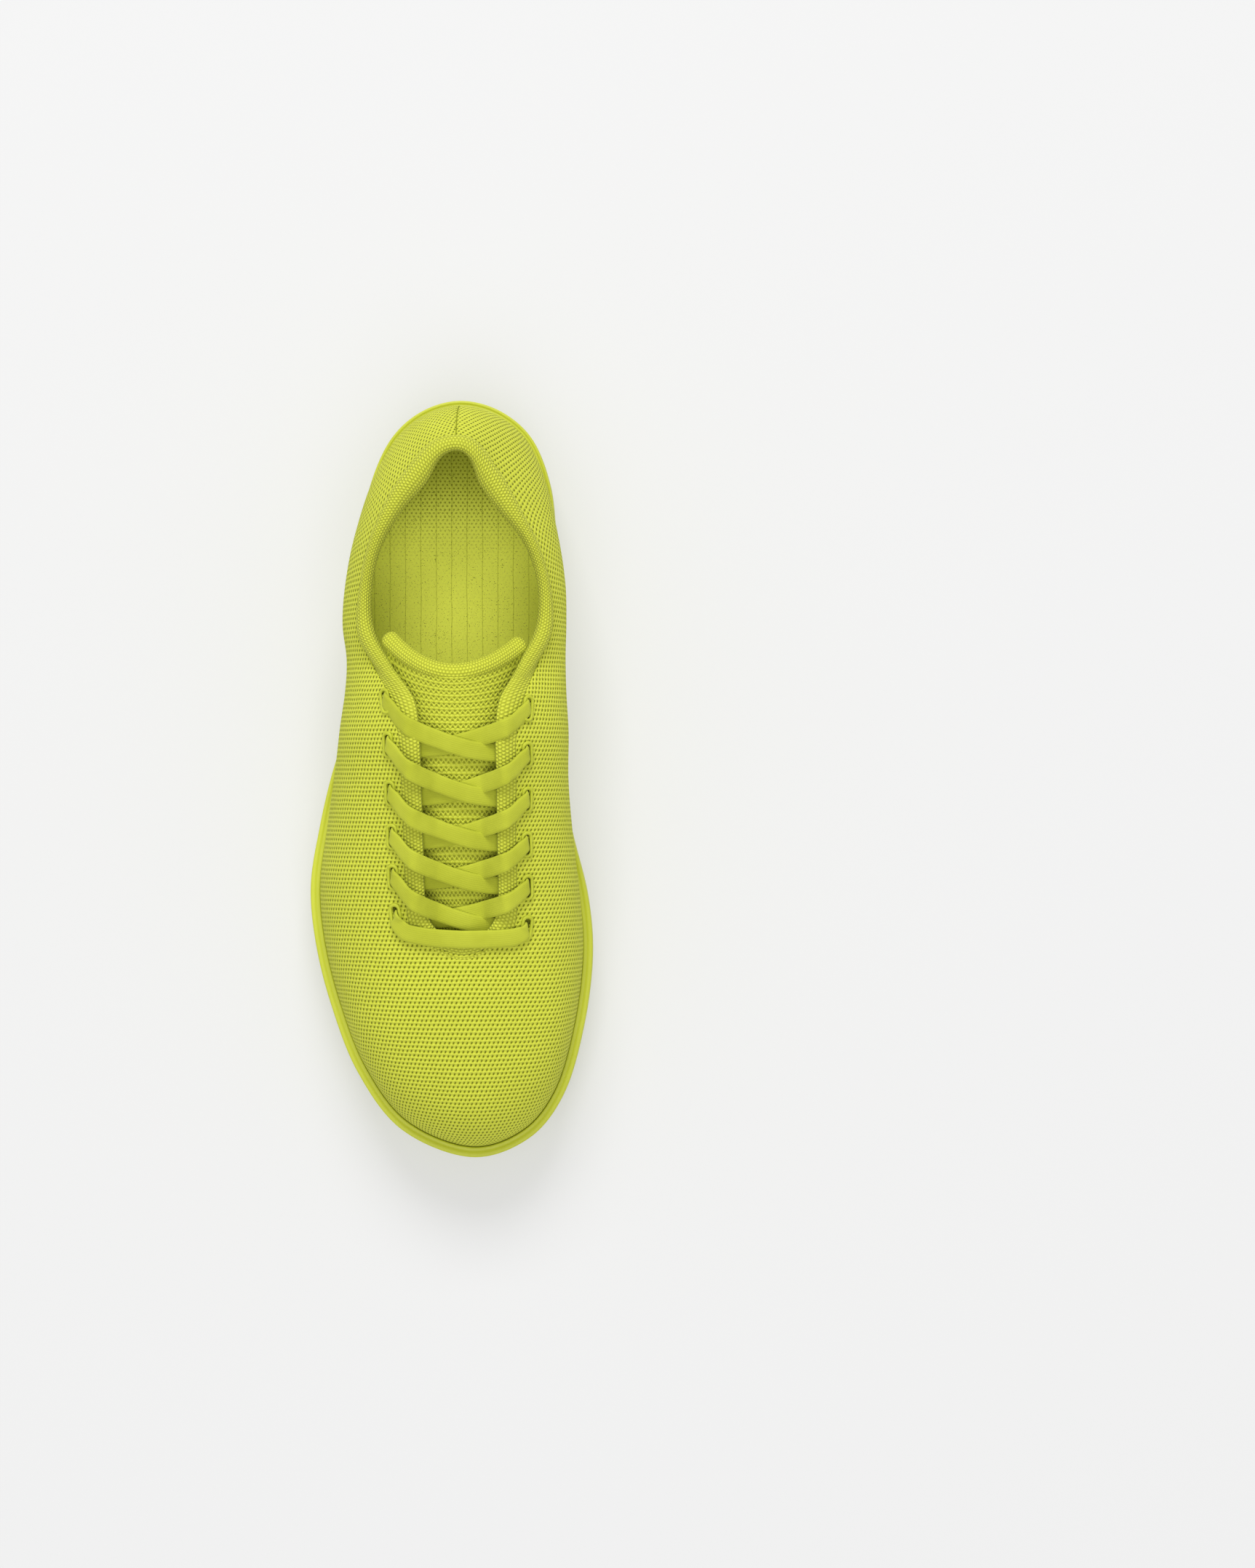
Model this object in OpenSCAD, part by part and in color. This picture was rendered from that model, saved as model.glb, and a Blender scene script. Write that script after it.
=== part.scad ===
// Running shoe for the right foot, in millimetres: +Z up, toe towards -Y,
// the big-toe side towards +X. The origin is on the ground under the middle of the shoe.

/* [Sole] */
// Thickness of the rubber outsole
outsole_thickness = 3.2; // [2.6:0.1:3.6]
// Depth of the grooves across the outsole
groove_depth = 1.8; // [1.0:0.1:2.0]
// Height of the midsole lip around the upper
lip_height = 3; // [2.5:0.1:3.5]
// Thickness of the loose insole's foam
insole_thickness = 4.6; // [3.5:0.1:5.0]

/* [Upper] */
// Thickness of the knitted upper
knit_thickness = 1.6; // [1.3:0.1:1.6]
// Thickness of the collar foam at its fullest
collar_padding = 5.5; // [4.0:0.5:6.0]
// Radius of the soft roll around the collar
collar_roll_radius = 3; // [2.6:0.1:3.2]
// Thickness of the tongue foam in the middle
tongue_padding = 4.5; // [3.0:0.5:5.0]

/* [Lace] */
// Width of the flat lace
lace_width = 7; // [6.0:0.5:7.0]
// Thickness of the flat lace
lace_thickness = 1.5; // [1.2:0.1:1.5]

/* [Hidden] */

// Ribs of the upper, starting at the middle of the toe and running round the medial side.
// Each row: the way the rib leans out (degrees), foot x, foot y, width of the sole rim,
// top edge x, y, z, then the outward and upward pull at the foot, and the outward and
// downward pull at the top edge.
RIBS = [
  [270, 7, -140.5, 4.4, 4.6, -61.2, 65, 2.5, 24, 42, 8],
  [303, 26.7, -134.4, 4.3, 10, -60.2, 65.2, 2.5, 24, 39, 8.3],
  [330, 39.1, -118.9, 4.2, 15.2, -57, 65.8, 2.5, 25, 34, 9.5],
  [348, 46.4, -94.1, 4.2, 18.3, -51.5, 67.1, 2.5, 26, 28, 10],
  [357, 49.7, -67.8, 4.2, 19.3, -45, 69.2, 2.5, 27, 25, 10],
  [363, 48.2, -45.3, 4, 19.2, -33, 72.6, 3.5, 28, 25, 10],
  [366, 42.8, -22.5, 3.8, 19, -18, 76.4, 9, 28, 25, 10],
  [363, 37.6, 0, 3.6, 18.8, 0, 80.8, 13.5, 28, 27, 11],
  [360, 35.6, 18, 3.4, 18.6, 17, 85, 17, 26, 27, 12],
  [360, 35, 33, 3.4, 20.5, 31, 84.5, 16.5, 24, 24, 15],
  [360, 35.2, 47, 3.4, 27.5, 43.5, 75.5, 14.5, 22, 17, 16],
  [360, 35.8, 61, 3.4, 34, 57.5, 69.8, 12, 19, 12, 16],
  [362, 36.4, 77, 3.3, 34.8, 73, 70, 10, 19, 11, 17],
  [370, 36.6, 94, 3.2, 30.2, 88.5, 73.5, 7, 20, 12, 18],
  [386, 34.8, 112, 3.1, 21.5, 101.5, 77.8, 5.5, 21, 13, 18],
  [410, 28.6, 128.6, 3, 13.3, 113.8, 81.5, 3.5, 22, 14, 18],
  [432, 17.2, 138.6, 3, 8.3, 121.8, 84, 3, 22, 14.5, 18],
  [452, 3.2, 142.2, 3, 2.7, 124.4, 84.8, 3, 22, 15, 18],
  [472, -10.4, 138.4, 3, -3.9, 121.9, 84, 3, 22, 14.5, 18],
  [494, -21.2, 128.6, 3, -10.4, 114.2, 81.8, 3.5, 22, 14, 18],
  [516, -28.3, 112.4, 3.1, -19.3, 103, 78, 5, 21, 13, 18],
  [530, -31.4, 94, 3.2, -27.4, 88, 73, 7.5, 20, 12, 18],
  [538, -32.4, 77, 3.3, -31, 72, 68.9, 11, 19, 11.5, 17],
  [540, -33, 61, 3.4, -30.3, 57, 68.8, 12.5, 19, 13, 16],
  [540, -33.7, 47, 3.4, -23.5, 43.5, 74, 11, 22, 17, 16],
  [540, -35, 34, 3.4, -14.6, 31, 83, 12, 24, 24, 15],
  [540, -37.6, 19, 3.5, -12.2, 17, 84, 12, 26, 27, 12.5],
  [539, -42.8, 1, 3.8, -11.5, 0, 79.6, 7, 28, 27, 11],
  [539, -47, -18, 4, -11, -18, 75.2, 4, 29, 26, 10],
  [543, -50.3, -40, 4.2, -10.6, -33, 71.6, 2.5, 28, 26, 10],
  [549, -48.6, -61.3, 4.2, -10.2, -45, 68.4, 2.5, 27, 26, 10],
  [559, -42.9, -84.6, 4.2, -9, -51.5, 66.7, 2.5, 26, 28, 9.5],
  [575, -33, -110, 4.2, -5.9, -57, 65.6, 2.5, 25, 34, 9.5],
  [600, -17.3, -130.7, 4.3, -0.8, -60, 65.1, 2.5, 24, 39, 8.3],
];
COUNT = len(RIBS);

// Heights of the sole along the shoe.
TOE_SPRING = 276;
HEEL_BEVEL = 130;
function ease(a, b, x) = let(t = min(1, max(0, (x - a) / (b - a)))) t * t * (3 - 2 * t);
function ground_z(y) =
  let(a = max(0, -75 - y), b = max(0, y - 115))
  TOE_SPRING - sqrt(TOE_SPRING * TOE_SPRING - a * a)
  + HEEL_BEVEL - sqrt(HEEL_BEVEL * HEEL_BEVEL - b * b);
function rim_z(y) = 22.5 + 8 * ease(-60, 110, y) + 4.5 * pow(max(0, -80 - y) / 65, 2);
function platform_z(y) = rim_z(y) - lip_height;

// Points of each rib: foot, two pulls and top edge.
function lean(i) = [cos(RIBS[i][0]), sin(RIBS[i][0]), 0];
function foot_point(i) = [RIBS[i][1], RIBS[i][2], platform_z(RIBS[i][2]) + 0.2];
function edge_point(i) = [RIBS[i][4], RIBS[i][5], RIBS[i][6]];
FOOT = [for (i = [0:COUNT - 1]) foot_point(i)];
EDGE = [for (i = [0:COUNT - 1]) edge_point(i)];
PULL_1 = [for (i = [0:COUNT - 1]) FOOT[i] + RIBS[i][7] * lean(i) + [0, 0, RIBS[i][8]]];
PULL_2 = [for (i = [0:COUNT - 1]) EDGE[i] + RIBS[i][9] * lean(i) - [0, 0, RIBS[i][10]]];
LEAN = [for (i = [0:COUNT - 1]) lean(i)];
RIM = [for (i = [0:COUNT - 1]) RIBS[i][3]];
SPREAD = [for (i = [0:COUNT - 1]) RIBS[i][7] / RIBS[i][8]];

// A smooth closed curve through one value from every rib.
function curve(p, u) =
  let(i = floor(u), t = u - i,
    a = p[(i - 1 + COUNT) % COUNT], b = p[(i + COUNT) % COUNT],
    c = p[(i + 1) % COUNT], d = p[(i + 2) % COUNT])
  0.5 * (2 * b + (c - a) * t + (2 * a - 5 * b + 4 * c - d) * t * t
    + (3 * b - a - 3 * c + d) * t * t * t);
function wrap(u) = u < 0 ? u + COUNT : (u >= COUNT ? u - COUNT : u);
function skin(u0, t) =
  let(u = wrap(u0), s = 1 - t)
  s * s * s * curve(FOOT, u) + 3 * t * s * s * curve(PULL_1, u)
  + 3 * t * t * s * curve(PULL_2, u) + t * t * t * curve(EDGE, u);
function unit(v) = v / max(1e-6, norm(v));
function out_normal(u, t) =
  unit(cross(skin(u + 0.02, t) - skin(u - 0.02, t), skin(u, t + 0.005) - skin(u, t - 0.005)));
function point(u, t, d) = skin(u, t) + d * out_normal(u, t);

// How far up each rib the knit runs: to the folded facing edge or to the collar seam.
function top_t(u) = 0.972 - 0.067 * ease(9, 11, u) * (1 - ease(23, 25, u));

// Places of the eyelets along the ribs, from the toe up, and how wide each slot is.
EYES_MEDIAL = [2.95, 4.48, 5.57, 6.55, 7.53, 8.67];
EYES_LATERAL = [30.47, 29.21, 28.22, 27.3, 26.25, 25.13];
SLOTS_MEDIAL = [0.3, 0.3, 0.24, 0.21, 0.21, 0.24];
SLOTS_LATERAL = [0.33, 0.3, 0.22, 0.21, 0.22, 0.26];
EYE_T = 0.84;
SLOT_T = [0.862, 0.897];
function slot_sides(e, w) = [e - w, e + w];
U_MEDIAL = [for (k = [0:5]) each slot_sides(EYES_MEDIAL[k], SLOTS_MEDIAL[k])];
U_LATERAL = [for (k = [5:-1:0]) each slot_sides(EYES_LATERAL[k], SLOTS_LATERAL[k])];
function is_slot(u0, u1) =
  len([for (e = concat(EYES_MEDIAL, EYES_LATERAL)) if (u0 < e && u1 > e) 1]) > 0;

// Closed solid between an outer and an inner sheet of points. A cell listed as open
// becomes a hole through both sheets.
module sheet_solid(outer, inner, closed = false, slot_row = -1, us = []) {
  nu = len(outer);
  nt = len(outer[0]);
  cells = closed ? nu : nu - 1;
  verts = [for (i = [0:nu - 1]) for (j = [0:nt - 1]) for (s = [0, 1])
    s == 0 ? outer[i][j] : inner[i][j]];
  function id(i, j, s) = (((i + nu) % nu) * nt + j) * 2 + s;
  function solid(i, j) = j >= 0 && j < nt - 1 && (closed || (i >= 0 && i < cells))
    && !(j == slot_row && len(us) > 0 && is_slot(us[(i + nu) % nu],
      (i + nu) % nu == nu - 1 ? COUNT : us[((i + nu) % nu) + 1]));
  quads = [for (i = [0:cells - 1]) for (j = [0:nt - 2]) if (solid(i, j)) each concat(
    [[id(i, j, 0), id(i, j + 1, 0), id(i + 1, j + 1, 0), id(i + 1, j, 0)]],
    [[id(i, j, 1), id(i + 1, j, 1), id(i + 1, j + 1, 1), id(i, j + 1, 1)]],
    solid(i, j - 1) ? [] : [[id(i, j, 1), id(i, j, 0), id(i + 1, j, 0), id(i + 1, j, 1)]],
    solid(i, j + 1) ? [] :
      [[id(i, j + 1, 0), id(i, j + 1, 1), id(i + 1, j + 1, 1), id(i + 1, j + 1, 0)]],
    solid(i - 1, j) ? [] : [[id(i, j, 0), id(i, j, 1), id(i, j + 1, 1), id(i, j + 1, 0)]],
    solid(i + 1, j) ? [] :
      [[id(i + 1, j, 1), id(i + 1, j, 0), id(i + 1, j + 1, 0), id(i + 1, j + 1, 1)]])];
  polyhedron(verts, [for (q = quads) each [[q[0], q[1], q[2]], [q[0], q[2], q[3]]]]);
}

// Closed solid swept through a list of rings, with flat ends or joined into a loop.
module ring_sweep(rings, closed = false) {
  nr = len(rings);
  m = len(rings[0]);
  last = closed ? nr - 1 : nr - 2;
  sides = [for (i = [0:last]) for (k = [0:m - 1]) each [
    [i * m + k, i * m + (k + 1) % m, ((i + 1) % nr) * m + (k + 1) % m],
    [i * m + k, ((i + 1) % nr) * m + (k + 1) % m, ((i + 1) % nr) * m + k]]];
  ends = closed ? [] : concat(
    [for (k = [1:m - 2]) [0, k + 1, k]],
    [for (k = [1:m - 2]) [(nr - 1) * m, (nr - 1) * m + k, (nr - 1) * m + k + 1]]);
  polyhedron([for (r = rings) each r], concat(sides, ends));
}

// Closed solid through rings that all run round the whole shoe, capped above and below
// by strips from side to side.
STEPS = 2 * COUNT;
module round_loft(rings) {
  nr = len(rings);
  m = STEPS;
  sides = [for (i = [0:nr - 2]) for (k = [0:m - 1]) each [
    [i * m + k, i * m + (k + 1) % m, (i + 1) * m + (k + 1) % m],
    [i * m + k, (i + 1) * m + (k + 1) % m, (i + 1) * m + k]]];
  function strip(k) = [[k, (m - k - 1) % m, k + 1], [k, (m - k) % m, (m - k - 1) % m]];
  low = [for (k = [0:m / 2 - 1]) for (f = strip(k)) if (f[0] != f[1] && f[1] != f[2]) f];
  high = [for (f = low) [for (v = [2:-1:0]) (nr - 1) * m + f[v]]];
  polyhedron([for (r = rings) each r], concat(sides, low, high));
}
// Ring a distance outside the feather line, at a height over the platform or the ground.
function plan(k, out) = curve(FOOT, k / 2) + out * curve(LEAN, k / 2);
function plan_rim(k, part, inset) =
  let(u = k / 2) curve(FOOT, u) + (curve(RIM, u) * part - inset) * curve(LEAN, u);
function over_platform(out, h) =
  [for (k = [0:STEPS - 1]) let(p = plan(k, out)) [p[0], p[1], platform_z(p[1]) + h]];
function over_ground(inset, h) =
  [for (k = [0:STEPS - 1]) let(p = plan_rim(k, 1, inset)) [p[0], p[1], ground_z(p[1]) + h]];
function at_wall(inset, part) =
  [for (k = [0:STEPS - 1])
    let(p = plan_rim(k, 1, inset), a = ground_z(p[1]) + outsole_thickness, b = rim_z(p[1]))
    [p[0], p[1], a + (b - a) * part]];
function at_lip(part, h) =
  [for (k = [0:STEPS - 1])
    let(a = 0.45 + (lip_height + h) * curve(SPREAD, k / 2), b = 0.93 * curve(RIM, k / 2),
      p = plan(k, a + (b - a) * part))
    [p[0], p[1], rim_z(p[1]) + h]];

// Rubber outsole: a curved plate cut by flex grooves.
OUTLINE = [for (k = [0:STEPS - 1]) let(p = plan_rim(k, 1, 6)) [p[0], p[1]]];
Y_STEPS = [-146, -138, -130, -122, -114, -106, -98, -90, -82, -75, 115, 122, 129, 136, 146];
GROOVES = [for (y = [-122:15:100]) if (y < 0 || y > 20) y];
module outsole() {
  color([0.78, 0.85, 0.12])
  difference() {
    intersection() {
      linear_extrude(60) polygon(OUTLINE);
      rotate([90, 0, 90]) linear_extrude(160, center = true)
        polygon(concat([for (y = Y_STEPS) [y, ground_z(y)]],
          [for (k = [len(Y_STEPS) - 1:-1:0])
            [Y_STEPS[k], ground_z(Y_STEPS[k]) + outsole_thickness - 0.1]]));
    }
    for (y = GROOVES)
      translate([0, y, ground_z(y) + groove_depth - 5]) cube([160, 3, 10], center = true);
    translate([3, 0, groove_depth - 5]) cube([4, 150, 10], center = true);
  }
}

// Foam midsole with a bulging wall, a lip round the upper and a platform inside the lip.
module midsole() {
  color([0.80, 0.87, 0.15])
  round_loft([
    over_ground(6.5, outsole_thickness), over_ground(3.5, outsole_thickness + 0.6),
    at_wall(1.2, 0.2), at_wall(0, 0.45), at_wall(0.2, 0.7), at_wall(1.2, 0.85),
    at_wall(0.3, 0.94), at_lip(1, 0), at_lip(0.5, 0.2), at_lip(0, -0.4),
    over_platform(0.45, 0), over_platform(-8, 0)]);
}

// Woven board that closes the bottom of the upper.
module strobel_board() {
  color([0.85, 0.86, 0.70])
  round_loft([over_platform(-2.4, 0.1), over_platform(-2.4, 1.3)]);
}

// Loose cupped insole: foam with a thin cloth cover.
INSOLE_Z = 1.4;
module insole_foam() {
  color([0.80, 0.86, 0.25])
  round_loft([over_platform(-7.2, INSOLE_Z), over_platform(-5.5, INSOLE_Z + 1.6),
    over_platform(-5.4, INSOLE_Z + insole_thickness + 1),
    over_platform(-6.2, INSOLE_Z + insole_thickness + 1.6),
    over_platform(-13, INSOLE_Z + insole_thickness)]);
}
module insole_cover() {
  color([0.83, 0.90, 0.25])
  round_loft([over_platform(-13.1, INSOLE_Z + insole_thickness + 0.1),
    over_platform(-6.4, INSOLE_Z + insole_thickness + 1.7),
    over_platform(-5.6, INSOLE_Z + insole_thickness + 1.8),
    over_platform(-5.6, INSOLE_Z + insole_thickness + 2.5),
    over_platform(-6.2, INSOLE_Z + insole_thickness + 2.6),
    over_platform(-13.1, INSOLE_Z + insole_thickness + 0.9)]);
}

// Grid of points on the upper for given ribs, heights and depths.
function sheet(us, ts, ds) =
  [for (u = us) [for (j = [0:len(ts) - 1]) point(u, ts[j] * top_t(u), ds[j])]];
function all_same(ts, d) = [for (t = ts) d];
function span(a, b, n) = [for (k = [0:n]) a + (b - a) * k / n];

// Layer depths below the outer face.
STIFF_TOP = knit_thickness + 0.15;
LINING_TOP = knit_thickness + 1.1;

// Seamless knitted upper with its twelve lace slots.
U_TOE = span(-2.8, 2.5, 18);
U_BACK = span(9.7, 24.1, 30);
function part_of(us, a, b) = [for (u = us) if (u > a && u < b) u];
U_ALL = concat(part_of(U_TOE, -0.1, 3), U_MEDIAL, U_BACK, U_LATERAL,
  [for (u = part_of(U_TOE, -4, -0.1)) u + COUNT]);
T_KNIT = [0, 0.06, 0.16, 0.28, 0.41, 0.54, 0.67, 0.79, SLOT_T[0], SLOT_T[1], 0.95, 1];
module knit_upper() {
  color([0.80, 0.88, 0.10])
  sheet_solid(sheet(U_ALL, T_KNIT, all_same(T_KNIT, 0)),
    sheet(U_ALL, T_KNIT, all_same(T_KNIT, -knit_thickness)), true, 8, U_ALL);
}

// Thin lining of the toe, sides and facings.
U_LINING = concat([24.2 - COUNT], [for (u = U_LATERAL) u - COUNT], U_TOE, U_MEDIAL, [9.6]);
T_LINING = [0.06, 0.16, 0.28, 0.41, 0.54, 0.67, 0.79, SLOT_T[0], SLOT_T[1], 0.95, 0.985];
function slots_of(us) = [for (u = us) wrap(u)];
module vamp_lining() {
  color([0.78, 0.84, 0.30])
  sheet_solid(sheet(U_LINING, T_LINING, all_same(T_LINING, -LINING_TOP)),
    sheet(U_LINING, T_LINING, all_same(T_LINING, -LINING_TOP - 0.7)), false, 7,
    slots_of(U_LINING));
}

// Stiff cup round the back of the heel.
T_COUNTER = [0.06, 0.16, 0.28, 0.41];
U_COUNTER = part_of(U_BACK, 13.2, 20.6);
module heel_counter() {
  color([0.88, 0.88, 0.82])
  sheet_solid(sheet(U_COUNTER, T_COUNTER, all_same(T_COUNTER, -STIFF_TOP)),
    sheet(U_COUNTER, T_COUNTER, all_same(T_COUNTER, -STIFF_TOP - 1.2)));
}

// Thin stiffener over the toes.
T_PUFF = [0.06, 0.16, 0.28];
U_PUFF = part_of(U_TOE, -2.6, 2.6);
module toe_puff() {
  color([0.86, 0.88, 0.70])
  sheet_solid(sheet(U_PUFF, T_PUFF, all_same(T_PUFF, -STIFF_TOP)),
    sheet(U_PUFF, T_PUFF, all_same(T_PUFF, -STIFF_TOP - 0.8)));
}

// Padding inside the collar, fullest at the middle of its height.
T_FOAM = [0.54, 0.67, 0.79, 0.88, 0.95];
FOAM = [0.5, 0.95, 0.95, 0.6, 0.25];
module collar_foam() {
  color([0.90, 0.90, 0.75])
  sheet_solid(sheet(U_BACK, T_FOAM, all_same(T_FOAM, -STIFF_TOP)),
    sheet(U_BACK, T_FOAM, [for (f = FOAM) -STIFF_TOP - 0.4 - f * collar_padding]));
}
T_BACK = concat([0.06, 0.16, 0.28, 0.41], T_FOAM);
BACK = concat([1.4, 1.4, 1.4, 1.6], [for (f = FOAM) 0.55 + f * collar_padding]);
module collar_lining() {
  color([0.79, 0.87, 0.15])
  sheet_solid(sheet(U_BACK, T_BACK, [for (b = BACK) -STIFF_TOP - b]),
    sheet(U_BACK, T_BACK, [for (b = BACK) -STIFF_TOP - b - 0.8]));
}

// Soft roll that finishes the top line from one facing round the heel to the other.
function roll_ring(u, out, drop, r, n = 12) =
  let(c = curve(EDGE, u) + out * curve(LEAN, u) - [0, 0, drop])
  [for (k = [0:n - 1]) c + r * cos(360 * k / n) * unit(curve(LEAN, u))
    + [0, 0, r * sin(360 * k / n)]];
module collar_roll() {
  color([0.82, 0.90, 0.12])
  ring_sweep([for (u = span(9.8, 24, 34)) roll_ring(u, 1.6, 1.6, collar_roll_radius)]);
}

// Narrow tape over the inside of the centre-back seam.
T_TAPE = [0.06, 0.16, 0.28, 0.41];
U_TAPE = part_of(U_BACK, 16.4, 17.4);
module back_seam_tape() {
  color([0.75, 0.80, 0.20])
  sheet_solid(sheet(U_TAPE, T_TAPE, [for (k = [0:3]) -STIFF_TOP - BACK[k] - 0.9]),
    sheet(U_TAPE, T_TAPE, [for (k = [0:3]) -STIFF_TOP - BACK[k] - 1.4]));
}

// Stiff strips under the knit that carry the eyelets.
T_STAY = [0.79, SLOT_T[0], SLOT_T[1], 0.95, 0.985];
module eyestay(us) {
  color([0.74, 0.80, 0.25])
  sheet_solid(sheet(us, T_STAY, all_same(T_STAY, -STIFF_TOP - 0.15)),
    sheet(us, T_STAY, all_same(T_STAY, -STIFF_TOP - 0.75)), false, 1, us);
}
module eyestay_medial() { eyestay(concat([2.5], U_MEDIAL, [9.4])); }
module eyestay_lateral() { eyestay(concat([24.4], U_LATERAL, [31])); }

// Rounded folded edge of each facing, beside the tongue.
function edge_ring(u, r, n = 10) =
  let(w = wrap(u), c = point(w, 0.988, -LINING_TOP / 2 - 0.35),
    nn = out_normal(w, 0.985), s = unit(skin(w, 0.985) - skin(w, 0.97)))
  [for (k = [0:n - 1]) c + r * cos(360 * k / n) * s * -1 + r * sin(360 * k / n) * nn];
module facing_edge(us) {
  color([0.81, 0.89, 0.12])
  ring_sweep([for (u = us) edge_ring(u, 1.25)]);
}
module facing_edge_medial() { facing_edge(span(1.2, 9.5, 20)); }
module facing_edge_lateral() { facing_edge(span(24.3, 32.8, 20)); }

// Moulded eyelets: a flat slotted ring standing on the knit round each lace slot.
module slot_shape(half_length, r) {
  square([2 * r, 2 * half_length], center = true);
  for (s = [-1, 1]) translate([0, s * half_length]) circle(r, $fn = 24);
}
module eyelet(u) {
  t = EYE_T + 0.013;
  n = out_normal(u, t);
  along = unit(skin(u + 0.05, t) - skin(u - 0.05, t));
  side = cross(along, n);
  c = point(u, t, 0.25);
  multmatrix([[side[0], along[0], n[0], c[0]], [side[1], along[1], n[1], c[1]],
    [side[2], along[2], n[2], c[2]], [0, 0, 0, 1]])
    linear_extrude(0.9) difference() {
      slot_shape(3.3, 2.4);
      slot_shape(3.0, 1.5);
    }
}
module eyelets_medial() { color([0.85, 0.92, 0.20]) for (u = EYES_MEDIAL) eyelet(u); }
module eyelets_lateral() { color([0.85, 0.92, 0.20]) for (u = EYES_LATERAL) eyelet(u); }

// Tongue: a padded sheet under the facings. a runs from side to side, v from root to top.
TONGUE_Z = [[-70, 56.4], [-60, 59.4], [-45, 64], [-30, 68.4], [-15, 72.2], [0, 76.2],
  [15, 80.2], [30, 83.8], [45, 87.2], [60, 89.5]];
TONGUE_HALF = [[0, 13], [0.2, 21], [0.4, 24], [0.7, 25.5], [0.88, 26.3], [1, 26]];
function tongue_bend(v) = 0.0185 + 0.017 * ease(0.68, 0.93, v);
function tongue_at(a, v, d) =
  let(side = abs(a), y = -63 + 107 * v + 16 * pow(v, 8) * side * side,
    xc = 4.2 - 2.4 * v, w = lookup(v, TONGUE_HALF), x = a * w,
    z = lookup(y - 16 * pow(v, 8) * side * side * 0.6, TONGUE_Z) - tongue_bend(v) * x * x
      + 9 * pow(v, 6) * pow(side, 3) - 0.9 * pow(1 - v, 3))
  [xc + x, y, z - d];
function tongue_sheet(d, thin, edge, top) =
  [for (v = span(0, top, 20)) [for (a = span(-edge, edge, 12))
    tongue_at(a, v, d * (1 - thin * pow(abs(a), 3)))]];
TONGUE_DEEP = 1.4 + tongue_padding;
module tongue_face() {
  color([0.80, 0.88, 0.12])
  sheet_solid(tongue_sheet(1.2, 0, 1, 0.97), tongue_sheet(0, 0, 1, 0.97));
}
module tongue_foam() {
  color([0.90, 0.90, 0.75])
  sheet_solid(tongue_sheet(TONGUE_DEEP, 0.5, 0.94, 0.96), tongue_sheet(1.35, 0, 0.94, 0.96));
}
module tongue_lining() {
  color([0.79, 0.87, 0.20])
  sheet_solid(tongue_sheet(TONGUE_DEEP + 0.95, 0.42, 0.99, 0.965),
    tongue_sheet(TONGUE_DEEP + 0.15, 0.47, 0.99, 0.965));
}
module tongue_top_roll() {
  color([0.82, 0.90, 0.14])
  ring_sweep([for (a = span(-0.97, 0.97, 18))
    let(c = tongue_at(a, 1.0, 2.6), r = 2.4 - 1.1 * pow(abs(a), 4),
      s = unit(tongue_at(a + 0.02, 1, 0) - tongue_at(a - 0.02, 1, 0)),
      f = unit(cross([0, 0, 1], s)), g = cross(s, f))
    [for (k = [0:9]) c + r * cos(36 * k) * f + r * sin(36 * k) * g]]);
}

// Short sewn bar that closes the bottom of the throat.
module throat_bar() {
  color([0.76, 0.83, 0.15])
  ring_sweep([for (u = span(-0.9, 0.9, 8))
    let(w = wrap(u), c = point(w, 0.955, 0.8), n = out_normal(w, 0.955),
      s = unit(skin(w, 0.96) - skin(w, 0.94)))
    [for (k = [0:7]) c + 1.1 * cos(45 * k) * s + 0.7 * sin(45 * k) * n]]);
}

// One lace, from inside one top slot down the throat to the bar and back up the other side.
HOLE_T = EYE_T + 0.013;
function eye_u(side, k) = side > 0 ? EYES_MEDIAL[k] : EYES_LATERAL[k];
function eye_p(side, k, d) = point(eye_u(side, k), HOLE_T, d);
function eye_along(side, k) =
  side * unit(skin(eye_u(side, k) + 0.05, HOLE_T) - skin(eye_u(side, k) - 0.05, HOLE_T));
function lip_p(u, d) = point(u, 0.975, d);
function tongue_top(x, y) = lookup(y, TONGUE_Z) - 0.0185 * pow(x - 3, 2);
UNDER = LINING_TOP + 1.9;
// Shares of the way across and of the way down at which each crossing strap is placed,
// from its eyelet to the far facing edge, and the shares of full width along it.
STRAP_X = [0.04, 0.12, 0.2, 0.3, 0.42, 0.57, 0.74, 0.9];
STRAP_Y = [0.12, 0.36, 0.49, 0.6, 0.7, 0.82, 0.93, 0.98];
STRAP_WIDE = [0.6, 0.6, 0.6, 0.78, 0.95, 1, 1, 1, 1, 1, 1, 1, 0.8];
// Heights of the lower and the upper strap over the tongue, and over the facing.
LOW_STRAP = 1.5;
HIGH_STRAP = 3.2;
ON_FACING = 1.7;
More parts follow.
